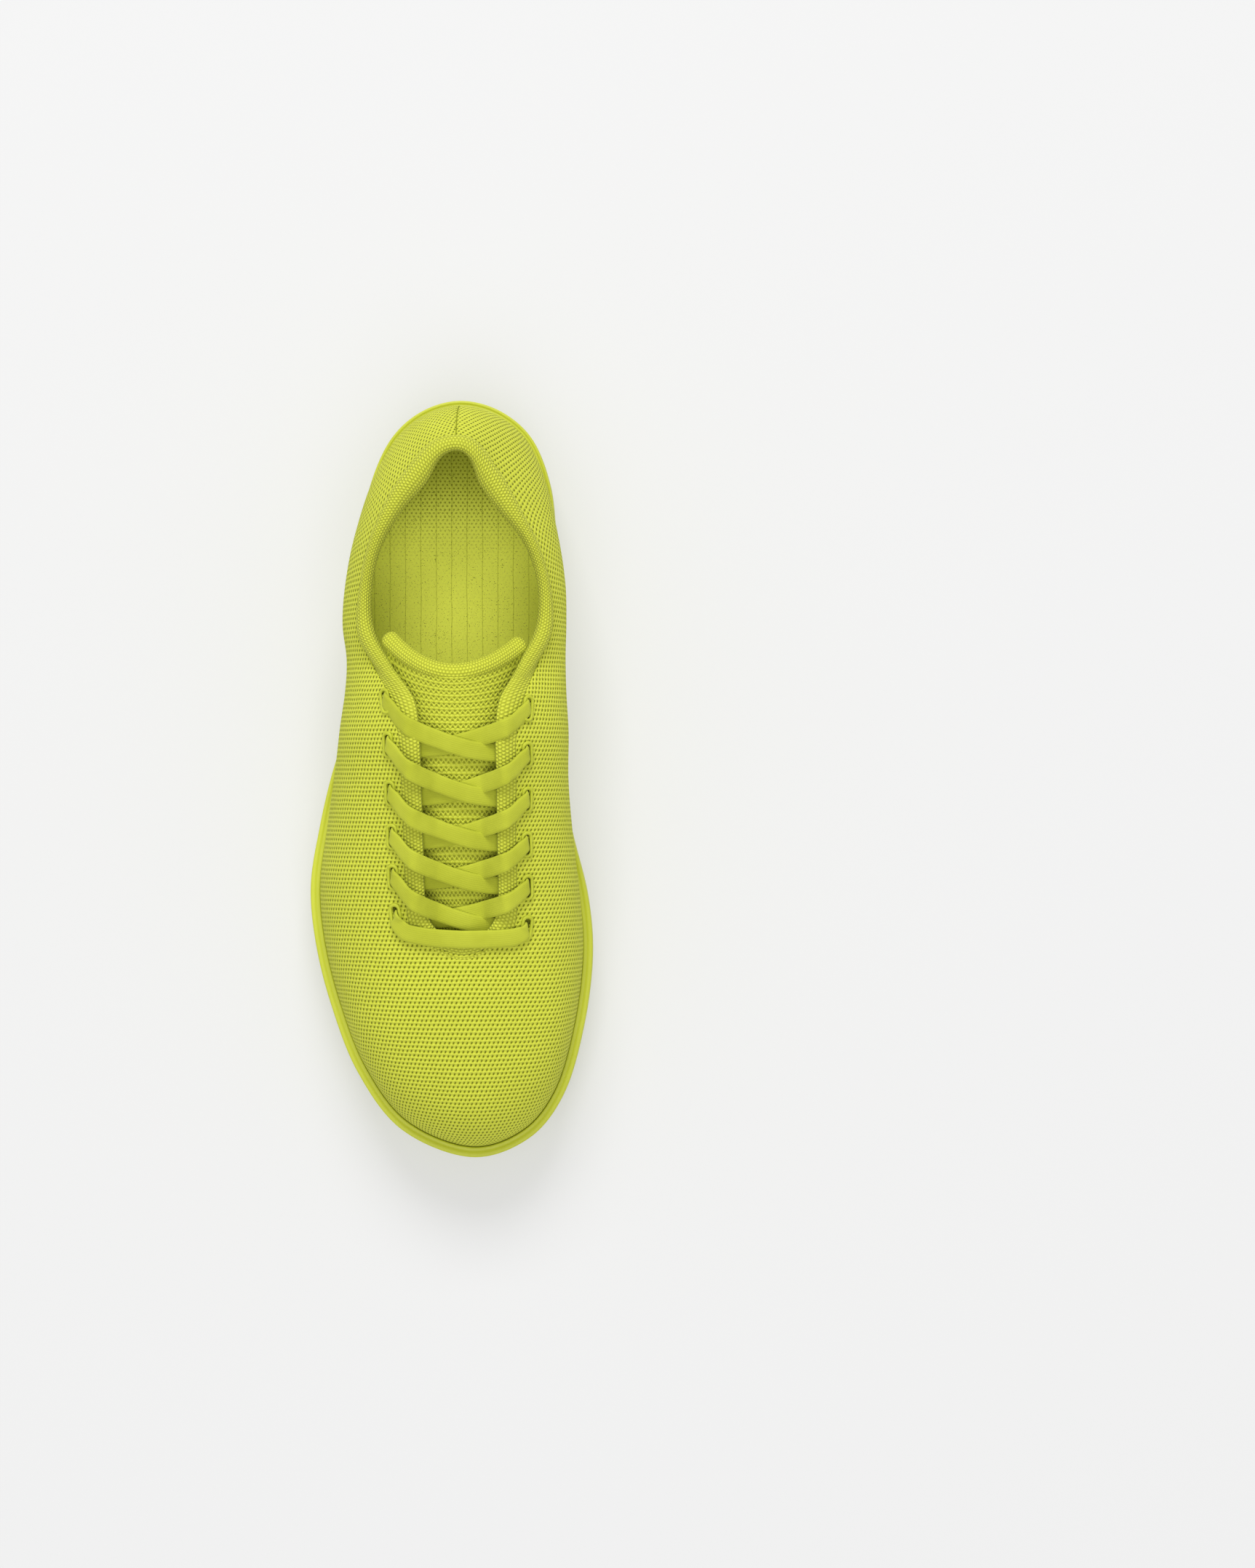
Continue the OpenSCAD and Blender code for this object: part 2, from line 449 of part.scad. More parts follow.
// The strap from the eyelet k on one side to the eyelet below it on the other side.
function strap(side, k) =
  let(a = eye_p(side, k, 0), b = eye_p(-side, k - 1, 0), al = eye_along(side, k),
    la = lip_p(eye_u(side, k), 0), lip = lip_p(eye_u(-side, k - 1), -UNDER - 0.3),
    lb = [lip[0], b[1] + (side < 0 ? 0.4 : -1.5), lip[2]],
    lift = side < 0 ? HIGH_STRAP : LOW_STRAP)
  concat(
    [eye_p(side, k, -UNDER - 0.6) + 0.6 * al, eye_p(side, k, 0.3) + al, eye_p(side, k, 1.9) + 0.9 * al],
    [for (i = [0:7]) let(f = STRAP_X[i], x = a[0] + (lb[0] - a[0]) * f,
      y = a[1] + (lb[1] - a[1]) * STRAP_Y[i], e = ease(0.2, 0.45, f),
      over = a[2] + (la[2] - a[2]) * min(1, f / 0.2) + ON_FACING,
      sag = tongue_top(x, y) + lift * (1 - 0.2 * ease(0.6, 0.9, f)))
      [x, y, over * (1 - e) + sag * e]],
    [lb, (b + lb) / 2 - [0, 0, UNDER / 2 + 0.9]]);
TAIL = 18;
function tail(side) =
  let(p = eye_p(side, 5, 0))
  [p + [side * 2.2, 8, -TAIL], p + [side * 2.2, 5, -13], p + [side * 0.8, 1, -8]];
DOWN_1 = [for (k = [5:-1:1]) each strap(k % 2 == 1 ? -1 : 1, k)];
DOWN_2 = [for (k = [5:-1:1]) each strap(k % 2 == 1 ? 1 : -1, k)];
function reverse(l) = [for (k = [len(l) - 1:-1:0]) l[k]];
// The bar across the bottom of the throat, lying on the knit.
BAR = [[28.6, -58, 64], [25, -59.7, 64.7], [18.9, -60.3, 65.9], [12, -60.5, 66.6], [4.7, -60.6, 66.7],
  [-3, -60.2, 66.6], [-9.5, -59.6, 66.1], [-16.6, -58.2, 64.7], [-19.8, -55.2, 64.2]];
BAR_WIDE = [0.6, 0.5, 0.6, 0.85, 1, 1, 1, 1, 1, 1, 1, 0.85, 0.6, 0.5, 0.6];
function in_eye(side, k) = [for (d = [-UNDER - 0.6, 0.3, 1.9]) eye_p(side, k, d)];
LACE_PATH = concat(tail(-1), DOWN_1, in_eye(1, 0), BAR, reverse(in_eye(-1, 0)), reverse(DOWN_2),
  reverse(tail(1)));
DOWN_WIDE = [for (k = [1:5]) each STRAP_WIDE];
LACE_WIDE = concat([0.8, 0.8, 0.8], DOWN_WIDE, BAR_WIDE, reverse(DOWN_WIDE), [0.8, 0.8, 0.8]);
function path_dir(k) =
  unit(LACE_PATH[min(len(LACE_PATH) - 1, k + 1)] - LACE_PATH[max(0, k - 1)]);
function lace_ring(k) =
  let(t = path_dir(k), g = [0, 1, 0.25], w = unit(g - (g * t) * t), n = cross(t, w),
    a = lace_width / 2 * LACE_WIDE[k], b = lace_thickness / 2)
  [for (c = [[-1, 0], [-0.9, 1], [0.9, 1], [1, 0], [0.9, -1], [-0.9, -1]])
    LACE_PATH[k] + c[0] * a * w + c[1] * b * n];
module lace() {
  color([0.84, 0.92, 0.18])
  ring_sweep([for (k = [0:len(LACE_PATH) - 1]) lace_ring(k)]);
}

// Plain tips on the two lace ends, tucked inside the shoe.
module aglet(side) {
  p = tail(side)[0];
  translate(p + [0, 0, -13]) cylinder(h = 12, r = 1.6, $fn = 24);
}
module aglet_medial() { color([0.88, 0.92, 0.55]) aglet(1); }
module aglet_lateral() { color([0.88, 0.92, 0.55]) aglet(-1); }

outsole();
midsole();
strobel_board();
insole_foam();
insole_cover();
heel_counter();
toe_puff();
knit_upper();
vamp_lining();
collar_foam();
collar_lining();
collar_roll();
back_seam_tape();
eyestay_medial();
eyestay_lateral();
facing_edge_medial();
facing_edge_lateral();
eyelets_medial();
eyelets_lateral();
throat_bar();
tongue_face();
tongue_foam();
tongue_lining();
tongue_top_roll();
lace();
aglet_medial();
aglet_lateral();
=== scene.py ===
import math

import bmesh
import bpy
import numpy as np
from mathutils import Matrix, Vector


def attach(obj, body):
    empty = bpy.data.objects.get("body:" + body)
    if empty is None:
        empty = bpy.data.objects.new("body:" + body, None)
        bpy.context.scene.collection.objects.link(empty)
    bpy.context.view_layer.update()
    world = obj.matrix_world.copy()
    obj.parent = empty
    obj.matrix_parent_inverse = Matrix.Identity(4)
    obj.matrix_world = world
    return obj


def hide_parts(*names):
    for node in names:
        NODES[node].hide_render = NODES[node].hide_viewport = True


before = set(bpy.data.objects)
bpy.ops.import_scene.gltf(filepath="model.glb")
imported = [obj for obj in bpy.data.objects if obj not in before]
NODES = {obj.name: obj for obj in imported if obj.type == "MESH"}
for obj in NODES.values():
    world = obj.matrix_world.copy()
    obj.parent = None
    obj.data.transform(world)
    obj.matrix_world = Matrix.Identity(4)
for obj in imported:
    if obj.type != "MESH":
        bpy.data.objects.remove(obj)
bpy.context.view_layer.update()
MM = 0.001

# ---------------------------------------------------------------- the last
# One row per rib, from the middle of the toe round the medial side: lean in degrees,
# foot x, foot y, rim width, top edge x, y, z, and the four pulls, as in part.scad.
RIBS = np.array([
    [270, 7, -140.5, 4.4, 4.6, -61.2, 65, 2.5, 24, 42, 8],
    [303, 26.7, -134.4, 4.3, 10, -60.2, 65.2, 2.5, 24, 39, 8.3],
    [330, 39.1, -118.9, 4.2, 15.2, -57, 65.8, 2.5, 25, 34, 9.5],
    [348, 46.4, -94.1, 4.2, 18.3, -51.5, 67.1, 2.5, 26, 28, 10],
    [357, 49.7, -67.8, 4.2, 19.3, -45, 69.2, 2.5, 27, 25, 10],
    [363, 48.2, -45.3, 4, 19.2, -33, 72.6, 3.5, 28, 25, 10],
    [366, 42.8, -22.5, 3.8, 19, -18, 76.4, 9, 28, 25, 10],
    [363, 37.6, 0, 3.6, 18.8, 0, 80.8, 13.5, 28, 27, 11],
    [360, 35.6, 18, 3.4, 18.6, 17, 85, 17, 26, 27, 12],
    [360, 35, 33, 3.4, 20.5, 31, 84.5, 16.5, 24, 24, 15],
    [360, 35.2, 47, 3.4, 27.5, 43.5, 75.5, 14.5, 22, 17, 16],
    [360, 35.8, 61, 3.4, 34, 57.5, 69.8, 12, 19, 12, 16],
    [362, 36.4, 77, 3.3, 34.8, 73, 70, 10, 19, 11, 17],
    [370, 36.6, 94, 3.2, 30.2, 88.5, 73.5, 7, 20, 12, 18],
    [386, 34.8, 112, 3.1, 21.5, 101.5, 77.8, 5.5, 21, 13, 18],
    [410, 28.6, 128.6, 3, 13.3, 113.8, 81.5, 3.5, 22, 14, 18],
    [432, 17.2, 138.6, 3, 8.3, 121.8, 84, 3, 22, 14.5, 18],
    [452, 3.2, 142.2, 3, 2.7, 124.4, 84.8, 3, 22, 15, 18],
    [472, -10.4, 138.4, 3, -3.9, 121.9, 84, 3, 22, 14.5, 18],
    [494, -21.2, 128.6, 3, -10.4, 114.2, 81.8, 3.5, 22, 14, 18],
    [516, -28.3, 112.4, 3.1, -19.3, 103, 78, 5, 21, 13, 18],
    [530, -31.4, 94, 3.2, -27.4, 88, 73, 7.5, 20, 12, 18],
    [538, -32.4, 77, 3.3, -31, 72, 68.9, 11, 19, 11.5, 17],
    [540, -33, 61, 3.4, -30.3, 57, 68.8, 12.5, 19, 13, 16],
    [540, -33.7, 47, 3.4, -23.5, 43.5, 74, 11, 22, 17, 16],
    [540, -35, 34, 3.4, -14.6, 31, 83, 12, 24, 24, 15],
    [540, -37.6, 19, 3.5, -12.2, 17, 84, 12, 26, 27, 12.5],
    [539, -42.8, 1, 3.8, -11.5, 0, 79.6, 7, 28, 27, 11],
    [539, -47, -18, 4, -11, -18, 75.2, 4, 29, 26, 10],
    [543, -50.3, -40, 4.2, -10.6, -33, 71.6, 2.5, 28, 26, 10],
    [549, -48.6, -61.3, 4.2, -10.2, -45, 68.4, 2.5, 27, 26, 10],
    [559, -42.9, -84.6, 4.2, -9, -51.5, 66.7, 2.5, 26, 28, 9.5],
    [575, -33, -110, 4.2, -5.9, -57, 65.6, 2.5, 25, 34, 9.5],
    [600, -17.3, -130.7, 4.3, -0.8, -60, 65.1, 2.5, 24, 39, 8.3],
], float)
# Lengths are in millimetres.
COUNT = len(RIBS)
HALF = COUNT // 2
OUTSOLE = 3.2
LIP = 3.0
LIP_GAP = 0.2
FOOT_GAP = 0.2
PADDING = 5.5
INSOLE = 4.6
TONGUE_DEEP = 6.9
UP = np.array([0.0, 0.0, 1.0])


def ease(a, b, x):
    t = np.clip((np.asarray(x, float) - a) / (b - a), 0, 1)
    return t * t * (3 - 2 * t)


def ground_z(y):
    a = np.clip(-75 - y, 0, None)
    b = np.clip(y - 115, 0, None)
    return 276 - np.sqrt(276 ** 2 - a * a) + 130 - np.sqrt(130 ** 2 - b * b)


def rim_z(y):
    return 22.5 + 8 * ease(-60, 110, y) + 4.5 * (np.clip(-80 - y, 0, None) / 65) ** 2


def platform_z(y):
    return rim_z(y) - LIP


def unit(v):
    return v / np.maximum(1e-9, np.linalg.norm(v, axis=-1, keepdims=True))


LEAN_ANGLE = np.radians(RIBS[:, 0])
LEAN = np.stack([np.cos(LEAN_ANGLE), np.sin(LEAN_ANGLE), 0 * LEAN_ANGLE], 1)
FOOT = np.stack([RIBS[:, 1], RIBS[:, 2], platform_z(RIBS[:, 2]) + FOOT_GAP], 1)
EDGE = RIBS[:, 4:7]
PULL_1 = FOOT + RIBS[:, 7:8] * LEAN + RIBS[:, 8:9] * UP
PULL_2 = EDGE + RIBS[:, 9:10] * LEAN - RIBS[:, 10:11] * UP
RIM = RIBS[:, 3:4]
SPREAD = RIBS[:, 7:8] / RIBS[:, 8:9]


def bridge(a, b, c, d, t):
    """Smooth curve from b to c as t runs from 0 to 1, shaped by its neighbours a and d."""
    return 0.5 * (2 * b + (c - a) * t + (2 * a - 5 * b + 4 * c - d) * t * t
                  + (3 * b - a - 3 * c + d) * t ** 3)


def curve(p, u):
    """Smooth closed curve through one value from every rib."""
    u = np.asarray(u, float)
    i = np.floor(u).astype(int)
    return bridge(*(p[(i + k) % COUNT] for k in (-1, 0, 1, 2)), (u - i)[..., None])


def skin(u, t):
    """Point of the upper at rib u and height t, 0 at the foot and 1 at the top edge."""
    u, t = np.broadcast_arrays(np.asarray(u, float), np.asarray(t, float))
    t = t[..., None]
    s = 1 - t
    return (s ** 3 * curve(FOOT, u) + 3 * t * s * s * curve(PULL_1, u)
            + 3 * t * t * s * curve(PULL_2, u) + t ** 3 * curve(EDGE, u))


def out_normal(u, t):
    t = np.clip(t, 0.006, 0.994)
    along = skin(u + 0.02, t) - skin(u - 0.02, t)
    upward = skin(u, t + 0.005) - skin(u, t - 0.005)
    return unit(np.cross(along, upward))


def point(u, t, d):
    """Point lifted d off the skin; a negative d lies inside the shoe."""
    return skin(u, t) + np.asarray(d)[..., None] * out_normal(u, t)


def from_toe(u):
    """Rib number counted both ways from the toe, negative on the lateral side."""
    return (u + HALF) % COUNT - HALF


def collar_share(u):
    """1 round the collar, 0 beside the tongue."""
    u = np.asarray(u, float) % COUNT
    return ease(9, 11, u) * (1 - ease(23, 25, u))


def top_t(u):
    return 0.972 - 0.067 * collar_share(u)


# Ribs at which the collar roll's outward and inward reach are given.
ROLL_U = [0, 9.6, 10.6, 11.6, 13, 14, 15, 16, 17, 18, 19, 20, 21.2, 22.4, 23.4, 24.3, 34]
ROLL_WIDE = [1, 1.5, 1.3, 0.75, 0.66, 1.15, 1.45, 1.35, 1.1, 1.35, 1.45, 1.15, 0.66, 0.75, 1.3, 1.5, 1]
ROLL_IN = [1.5] * 5 + [2.0, 3.2, 1.1, 0.2, 1.1, 3.2, 2.0] + [1.5] * 5


def soft_interp(x, xs, ys, w):
    """Linear table with its corners rounded by averaging over a reach of w each way."""
    return sum(np.interp(x + d * w, xs, ys) for d in (-1, -0.5, 0, 0.5, 1)) / 5


def by_rib(u, values):
    """Value listed at chosen ribs, rounded between them."""
    return soft_interp(np.asarray(u, float) % COUNT, ROLL_U, values, 0.5)


def groove_t(u):
    """Height of the seam outside the collar roll and the folded facing edge."""
    share = collar_share(u)
    corner = ease(7.6, 9.4, u % COUNT) * (1 - ease(24.6, 26.4, u % COUNT))
    throat = 1 - ease(1.2, 2.8, np.abs(from_toe(u)))
    facing = 0.908 + 0.046 * throat - 0.035 * corner
    return facing * (1 - share) + (1 - 0.1 * by_rib(u, ROLL_WIDE)) * share


# ------------------------------------------------------------ mesh helpers
def mesh_object(name, verts, faces, uvs=None, smooth=True):
    """verts in millimetres; uvs is one (x, y) per face corner, in millimetres."""
    mesh = bpy.data.meshes.new(name)
    verts = np.asarray(verts, np.float64).reshape(-1, 3) * MM
    faces = np.asarray(faces, np.int64)
    mesh.vertices.add(len(verts))
    mesh.vertices.foreach_set("co", verts.astype(np.float32).ravel())
    mesh.loops.add(faces.size)
    mesh.loops.foreach_set("vertex_index", faces.astype(np.int32).ravel())
    mesh.polygons.add(len(faces))
    mesh.polygons.foreach_set("loop_start", np.arange(0, faces.size, faces.shape[1], dtype=np.int32))
    mesh.update(calc_edges=True)
    mesh.validate()
    if uvs is not None:
        layer = mesh.uv_layers.new(name="Weave")
        layer.data.foreach_set("uv", np.asarray(uvs, np.float32).ravel())
    mesh.polygons.foreach_set("use_smooth", np.full(len(mesh.polygons), smooth))
    obj = bpy.data.objects.new(name, mesh)
    bpy.context.scene.collection.objects.link(obj)
    return obj


def grid_faces(nu, nt, closed_u=False, closed_t=False):
    """Corner numbers of a grid's quads, and the row and column of each corner."""
    iu = np.arange(nu if closed_u else nu - 1)
    it = np.arange(nt if closed_t else nt - 1)
    i, j = np.meshgrid(iu, it, indexing="ij")
    i2, j2 = (i + 1) % nu, (j + 1) % nt
    quads = np.stack([i * nt + j, i2 * nt + j, i2 * nt + j2, i * nt + j2], -1).reshape(-1, 4)
    corners = np.stack([np.stack([i, j], -1), np.stack([i + 1, j], -1),
                        np.stack([i + 1, j + 1], -1), np.stack([i, j + 1], -1)], 2).reshape(-1, 4, 2)
    return quads, corners


def grid_object(name, points, field=None, closed_u=False, closed_t=False, drop=None, flip=False):
    """points (nu, nt, 3); field (nu+closed, nt+closed, 2) holds weave coordinates."""
    nu, nt = points.shape[:2]
    quads, corners = grid_faces(nu, nt, closed_u, closed_t)
    if drop is not None:
        keep = ~drop(points.reshape(-1, 3)[quads].mean(1))
        quads, corners = quads[keep], corners[keep]
    if flip:
        quads, corners = quads[:, ::-1], corners[:, ::-1]
    uvs = None
    if field is not None:
        uvs = field[corners[..., 0], corners[..., 1]]
    return mesh_object(name, points, quads, uvs)


def arc_field(points, closed_t=False):
    """Weave coordinates from plain distances along both directions of a grid."""
    p = points
    if closed_t:
        p = np.concatenate([p, p[:, :1]], 1)
    du = np.linalg.norm(np.diff(p, axis=0), axis=-1).mean(1)
    dt = np.linalg.norm(np.diff(p, axis=1), axis=-1).mean(0)
    a = np.concatenate([[0], np.cumsum(du)])
    b = np.concatenate([[0], np.cumsum(dt)])
    return np.stack(np.meshgrid(a, b, indexing="ij"), -1)


def spline(points, n):
    """n points, evenly spaced in parameter, on a smooth curve through the given ones."""
    p = np.asarray(points, float)
    m = len(p)
    s = np.linspace(0, m - 1, n)
    i = np.minimum(np.floor(s).astype(int), m - 2)
    t = (s - i).reshape((-1,) + (1,) * (p.ndim - 1))
    ext = np.concatenate([2 * p[:1] - p[1:2], p, 2 * p[-1:] - p[-2:-1]], 0)
    return bridge(ext[i], ext[i + 1], ext[i + 2], ext[i + 3], t)


def full_turn(n):
    """n even steps round a circle, in radians."""
    return np.linspace(0, 2 * math.pi, n, endpoint=False)


def run_along(line):
    """Distance along a line of points, starting at nothing."""
    return np.concatenate([[0], np.cumsum(np.linalg.norm(np.diff(line, axis=0), axis=1))])


def tube(centre, across, normal, wide, high, sides):
    """Oval tube round a line; wide and high are its half sizes along across and normal."""
    turn = full_turn(sides)
    wide = np.broadcast_to(wide, len(centre))[:, None]
    high = np.broadcast_to(high, len(centre))[:, None]
    normal = np.broadcast_to(normal, centre.shape)
    return (centre[:, None] + (wide * np.cos(turn))[..., None] * across[:, None]
            + (high * np.sin(turn))[..., None] * normal[:, None])


# ---------------------------------------------------------- shader helpers
class Graph:
    """One material's shader nodes."""

    def __init__(self, name):
        self.mat = bpy.data.materials.new(name)
        self.mat.use_nodes = True
        self.tree = self.mat.node_tree
        self.tree.nodes.clear()
        self.out = self.tree.nodes.new("ShaderNodeOutputMaterial")
        self.bsdf = self.tree.nodes.new("ShaderNodeBsdfPrincipled")
        self.tree.links.new(self.bsdf.outputs[0], self.out.inputs[0])

    def put(self, socket, value):
        if isinstance(value, bpy.types.NodeSocket):
            self.tree.links.new(value, socket)
        elif value is not None:
            socket.default_value = value

    def math(self, op, a, b=None):
        n = self.tree.nodes.new("ShaderNodeMath")
        n.operation = op
        for socket, value in zip(n.inputs, (a, b)):
            self.put(socket, value)
        return n.outputs[0]

    def add(self, a, b):
        return self.math("ADD", a, b)

    def sub(self, a, b):
        return self.math("SUBTRACT", a, b)

    def mul(self, a, b):
        return self.math("MULTIPLY", a, b)

    def div(self, a, b):
        return self.math("DIVIDE", a, b)

    def radius(self, a, b):
        squares = self.add(self.math("POWER", a, 2.0), self.math("POWER", b, 2.0))
        return self.math("SQRT", squares)

    def cell(self, value):
        """Place inside a repeating cell, from -0.5 to 0.5."""
        return self.sub(self.math("FRACT", value), 0.5)

    def shaken(self, value, scale, reach):
        """The value moved to and fro by soft noise."""
        return self.add(value, self.mul(self.sub(self.noise(scale), 0.5), reach))

    def remap(self, value, a, b, c=0.0, d=1.0, smooth=True):
        n = self.tree.nodes.new("ShaderNodeMapRange")
        n.interpolation_type = "SMOOTHSTEP" if smooth else "LINEAR"
        for socket, v in zip(n.inputs, (value, a, b, c, d)):
            self.put(socket, v)
        return n.outputs[0]

    def mix(self, factor, a, b):
        n = self.tree.nodes.new("ShaderNodeMix")
        n.data_type = "RGBA"
        self.put(n.inputs[0], factor)
        self.put(n.inputs[6], a)
        self.put(n.inputs[7], b)
        return n.outputs[2]

    def weave(self):
        n = self.tree.nodes.new("ShaderNodeUVMap")
        n.uv_map = "Weave"
        x, y, _ = self.split(n.outputs[0])
        return x, y

    def place(self):
        """Object coordinates in metres."""
        return self.tree.nodes.new("ShaderNodeTexCoord").outputs["Object"]

    def split(self, vector):
        s = self.tree.nodes.new("ShaderNodeSeparateXYZ")
        self.tree.links.new(vector, s.inputs[0])
        return s.outputs

    def noise(self, scale, detail=2.0, rough=0.5):
        n = self.tree.nodes.new("ShaderNodeTexNoise")
        self.put(n.inputs["Vector"], self.place())
        n.inputs["Scale"].default_value = scale
        n.inputs["Detail"].default_value = detail
        n.inputs["Roughness"].default_value = rough
        return n.outputs[0]

    def bump(self, height, distance, strength=1.0):
        n = self.tree.nodes.new("ShaderNodeBump")
        n.inputs["Strength"].default_value = strength
        n.inputs["Distance"].default_value = distance
        self.put(n.inputs["Height"], height)
        return n.outputs[0]

    def finish(self, color, rough, normal, sheen=0.0, specular=0.3):
        self.put(self.bsdf.inputs["Base Color"], color)
        self.put(self.bsdf.inputs["Roughness"], rough)
        self.put(self.bsdf.inputs["Normal"], normal)
        self.bsdf.inputs["Sheen Weight"].default_value = sheen
        self.bsdf.inputs["Sheen Roughness"].default_value = 0.5
        self.bsdf.inputs["Specular IOR Level"].default_value = specular
        return self.mat


def rgb(r, g, b):
    """Display colour (0-255) to linear."""
    def lin(c):
        c /= 255
        return c / 12.92 if c <= 0.04045 else ((c + 0.055) / 1.055) ** 2.4
    return (lin(r), lin(g), lin(b), 1.0)


def shade(color, share):
    """The same colour with less light."""
    return [c * share for c in color[:3]] + [1.0]


BRIGHT = rgb(225, 231, 80)
MID = rgb(203, 210, 60)
# Painted shade colour for the holes between the knit's loops.
KNIT_HOLE_SHADE = rgb(122, 127, 20)


def knit_material(name, width, height, bright=BRIGHT, dark=KNIT_HOLE_SHADE, depth=0.0004, hole=1.0,
                  hole_w=0.18, hole_h=0.32, slant=0.3, stagger=0.42, vee=0.0):
    """Knit in rows: a raised ridge along each row, slanted loops and small holes between them."""
    g = Graph(name)
    x, y = g.weave()
    x = g.shaken(x, 260, 0.5)
    y = g.shaken(y, 190, 0.4)
    rows = g.div(y, height)
    if vee:
        rib = g.math("ABSOLUTE", g.cell(g.div(x, width)))
        rows = g.sub(rows, g.mul(rib, vee))
    row = g.math("FLOOR", rows)
    cols = g.add(g.div(x, width), g.mul(row, stagger))
    fy = g.cell(rows)
    fx = g.cell(g.add(cols, g.mul(fy, slant)))
    ridge = g.remap(g.math("ABSOLUTE", fy), 0.1, 0.46)
    leg = g.remap(g.math("ABSOLUTE", fx), 0.1, 0.44)
    pit = g.remap(g.radius(g.div(fx, hole_w), g.div(fy, hole_h)), 1.35, 0.45)
    # fine strands of yarn wind round each loop
    strand = g.math("SINE", g.mul(g.add(fx, g.mul(fy, 0.8)), 25.0))
    fuzz = g.noise(2600, 3, 0.7)
    value = g.add(g.mul(ridge, 0.55), g.mul(leg, 0.4))
    value = g.sub(value, g.mul(pit, 0.9 * hole))
    value = g.add(value, g.mul(strand, 0.06))
    value = g.add(value, g.mul(fuzz, 0.14))
    tone = g.noise(35, 3, 0.6)
    top = g.mix(g.remap(tone, 0.3, 0.7), bright, shade(bright, 0.94))
    # Painted shade and highlight: the colour follows the bump's height, lighter on the raised yarn, MID in
    # the low parts and the dark colour in the holes.
    body = g.mix(g.remap(value, 0.15, 0.95, smooth=False), MID, top)
    color = g.mix(g.mul(pit, hole), body, dark)
    return g.finish(color, 0.85, g.bump(value, depth), sheen=0.04, specular=0.1)


def smooth_knit_material(name, pitch=1.1, bright=BRIGHT, dark=MID, depth=0.0004):
    """Fine brushed knit of small round loops, as on the collar roll."""
    g = Graph(name)
    x, y = g.weave()
    x = g.shaken(x, 300, 0.3)
    rows = g.div(y, pitch)
    cols = g.add(g.div(x, pitch), g.mul(g.math("FLOOR", rows), 0.5))
    fx = g.math("ABSOLUTE", g.cell(cols))
    fy = g.math("ABSOLUTE", g.cell(rows))
    loop = g.remap(g.radius(g.mul(fx, 1.9), g.mul(fy, 1.6)), 1.2, 0.1)
    fuzz = g.noise(2400, 3, 0.7)
    value = g.add(loop, g.mul(fuzz, 0.5))
    # Painted shade: the gaps between the loops take the darker colour, the loops' tops the lighter one.
    color = g.mix(g.remap(value, 0.1, 1.2, smooth=False), dark, bright)
    return g.finish(color, 0.88, g.bump(value, depth), sheen=0.06, specular=0.1)


def foam_material(name, bright, dark, fleck=0.0, rough=0.5):
    """Moulded foam skin: fine orange-peel grain and slow tone changes."""
    g = Graph(name)
    grain = g.noise(900, 4, 0.6)
    slow = g.noise(18, 3, 0.5)
    color = g.mix(g.remap(slow, 0.3, 0.7), bright, dark)
    if fleck:
        v = g.tree.nodes.new("ShaderNodeTexVoronoi")
        g.put(v.inputs["Vector"], g.place())
        v.inputs["Scale"].default_value = 900
        spot = g.remap(v.outputs[0], 0.25, 0.1)
        color = g.mix(g.mul(spot, fleck), color, shade(dark, 0.55))
    r = g.remap(grain, 0.3, 0.7, rough - 0.06, rough + 0.08)
    return g.finish(color, r, g.bump(grain, 0.00012, 0.6), specular=0.4)


def insole_material(name):
    """Insole cloth: long pin stripes, fine diagonal twill, flecks, and round spots at the heel; painted
    shade darkens the heel, the twill's low threads and the spots, and painted light brightens the base
    colour.
    """
    g = Graph(name)
    px, py, _ = g.split(g.place())
    x = g.mul(px, 1000.0)
    y = g.mul(py, 1000.0)
    beside = g.math("ABSOLUTE", g.cell(g.div(g.shaken(x, 60, 0.8), 5.9)))
    stripe = g.remap(beside, 0.462, 0.5)
    twill = g.math("SINE", g.mul(g.add(x, g.mul(y, 0.7)), 6.6))
    twill2 = g.math("SINE", g.mul(g.sub(g.mul(x, 0.8), y), 6.3))
    cloth = g.mul(g.add(g.mul(twill, twill2), 1.0), 0.5)
    # rows of round spots, a real pattern, grow stronger and darker towards the heel as painted shade
    row = g.math("FLOOR", g.div(y, 1.35))
    hx = g.cell(g.add(g.div(x, 1.7), g.mul(row, 0.5)))
    hy = g.cell(g.div(y, 1.35))
    hr = g.radius(g.mul(hx, 1.7), g.mul(hy, 1.35))
    spots_and_heel_shade = g.mul(g.remap(hr, 0.48, 0.24), g.remap(y, 80.0, 112.0, 0.08, 1.0))
    fleck = g.remap(g.noise(2300, 1, 0.4), 0.66, 0.72)
    value = g.sub(g.mul(cloth, 0.4), g.mul(spots_and_heel_shade, 0.8))
    value = g.sub(value, g.mul(stripe, 0.8))
    # Painted light: the base colour is made brighter than the upper's yarn to make up for the shade inside
    # the shoe.
    color = g.mix(g.mul(stripe, 0.36), rgb(246, 252, 98), rgb(165, 170, 36))
    color = g.mix(g.mul(spots_and_heel_shade, 0.75), color, rgb(100, 103, 14))
    # Painted shade: the cloth darkens towards the heel, where the collar's shadow falls.
    color = g.mix(g.remap(y, 94.0, 122.0, 0.0, 0.6), color, rgb(132, 136, 26))
    color = g.mix(g.mul(fleck, 0.75), color, rgb(96, 98, 14))
    # Painted shade: the twill's low threads are darkened.
    color = g.mix(g.mul(g.sub(1.0, cloth), 0.14), color, rgb(165, 170, 36))
    return g.finish(color, 0.8, g.bump(value, 0.0002, 0.8), sheen=0.03, specular=0.1)


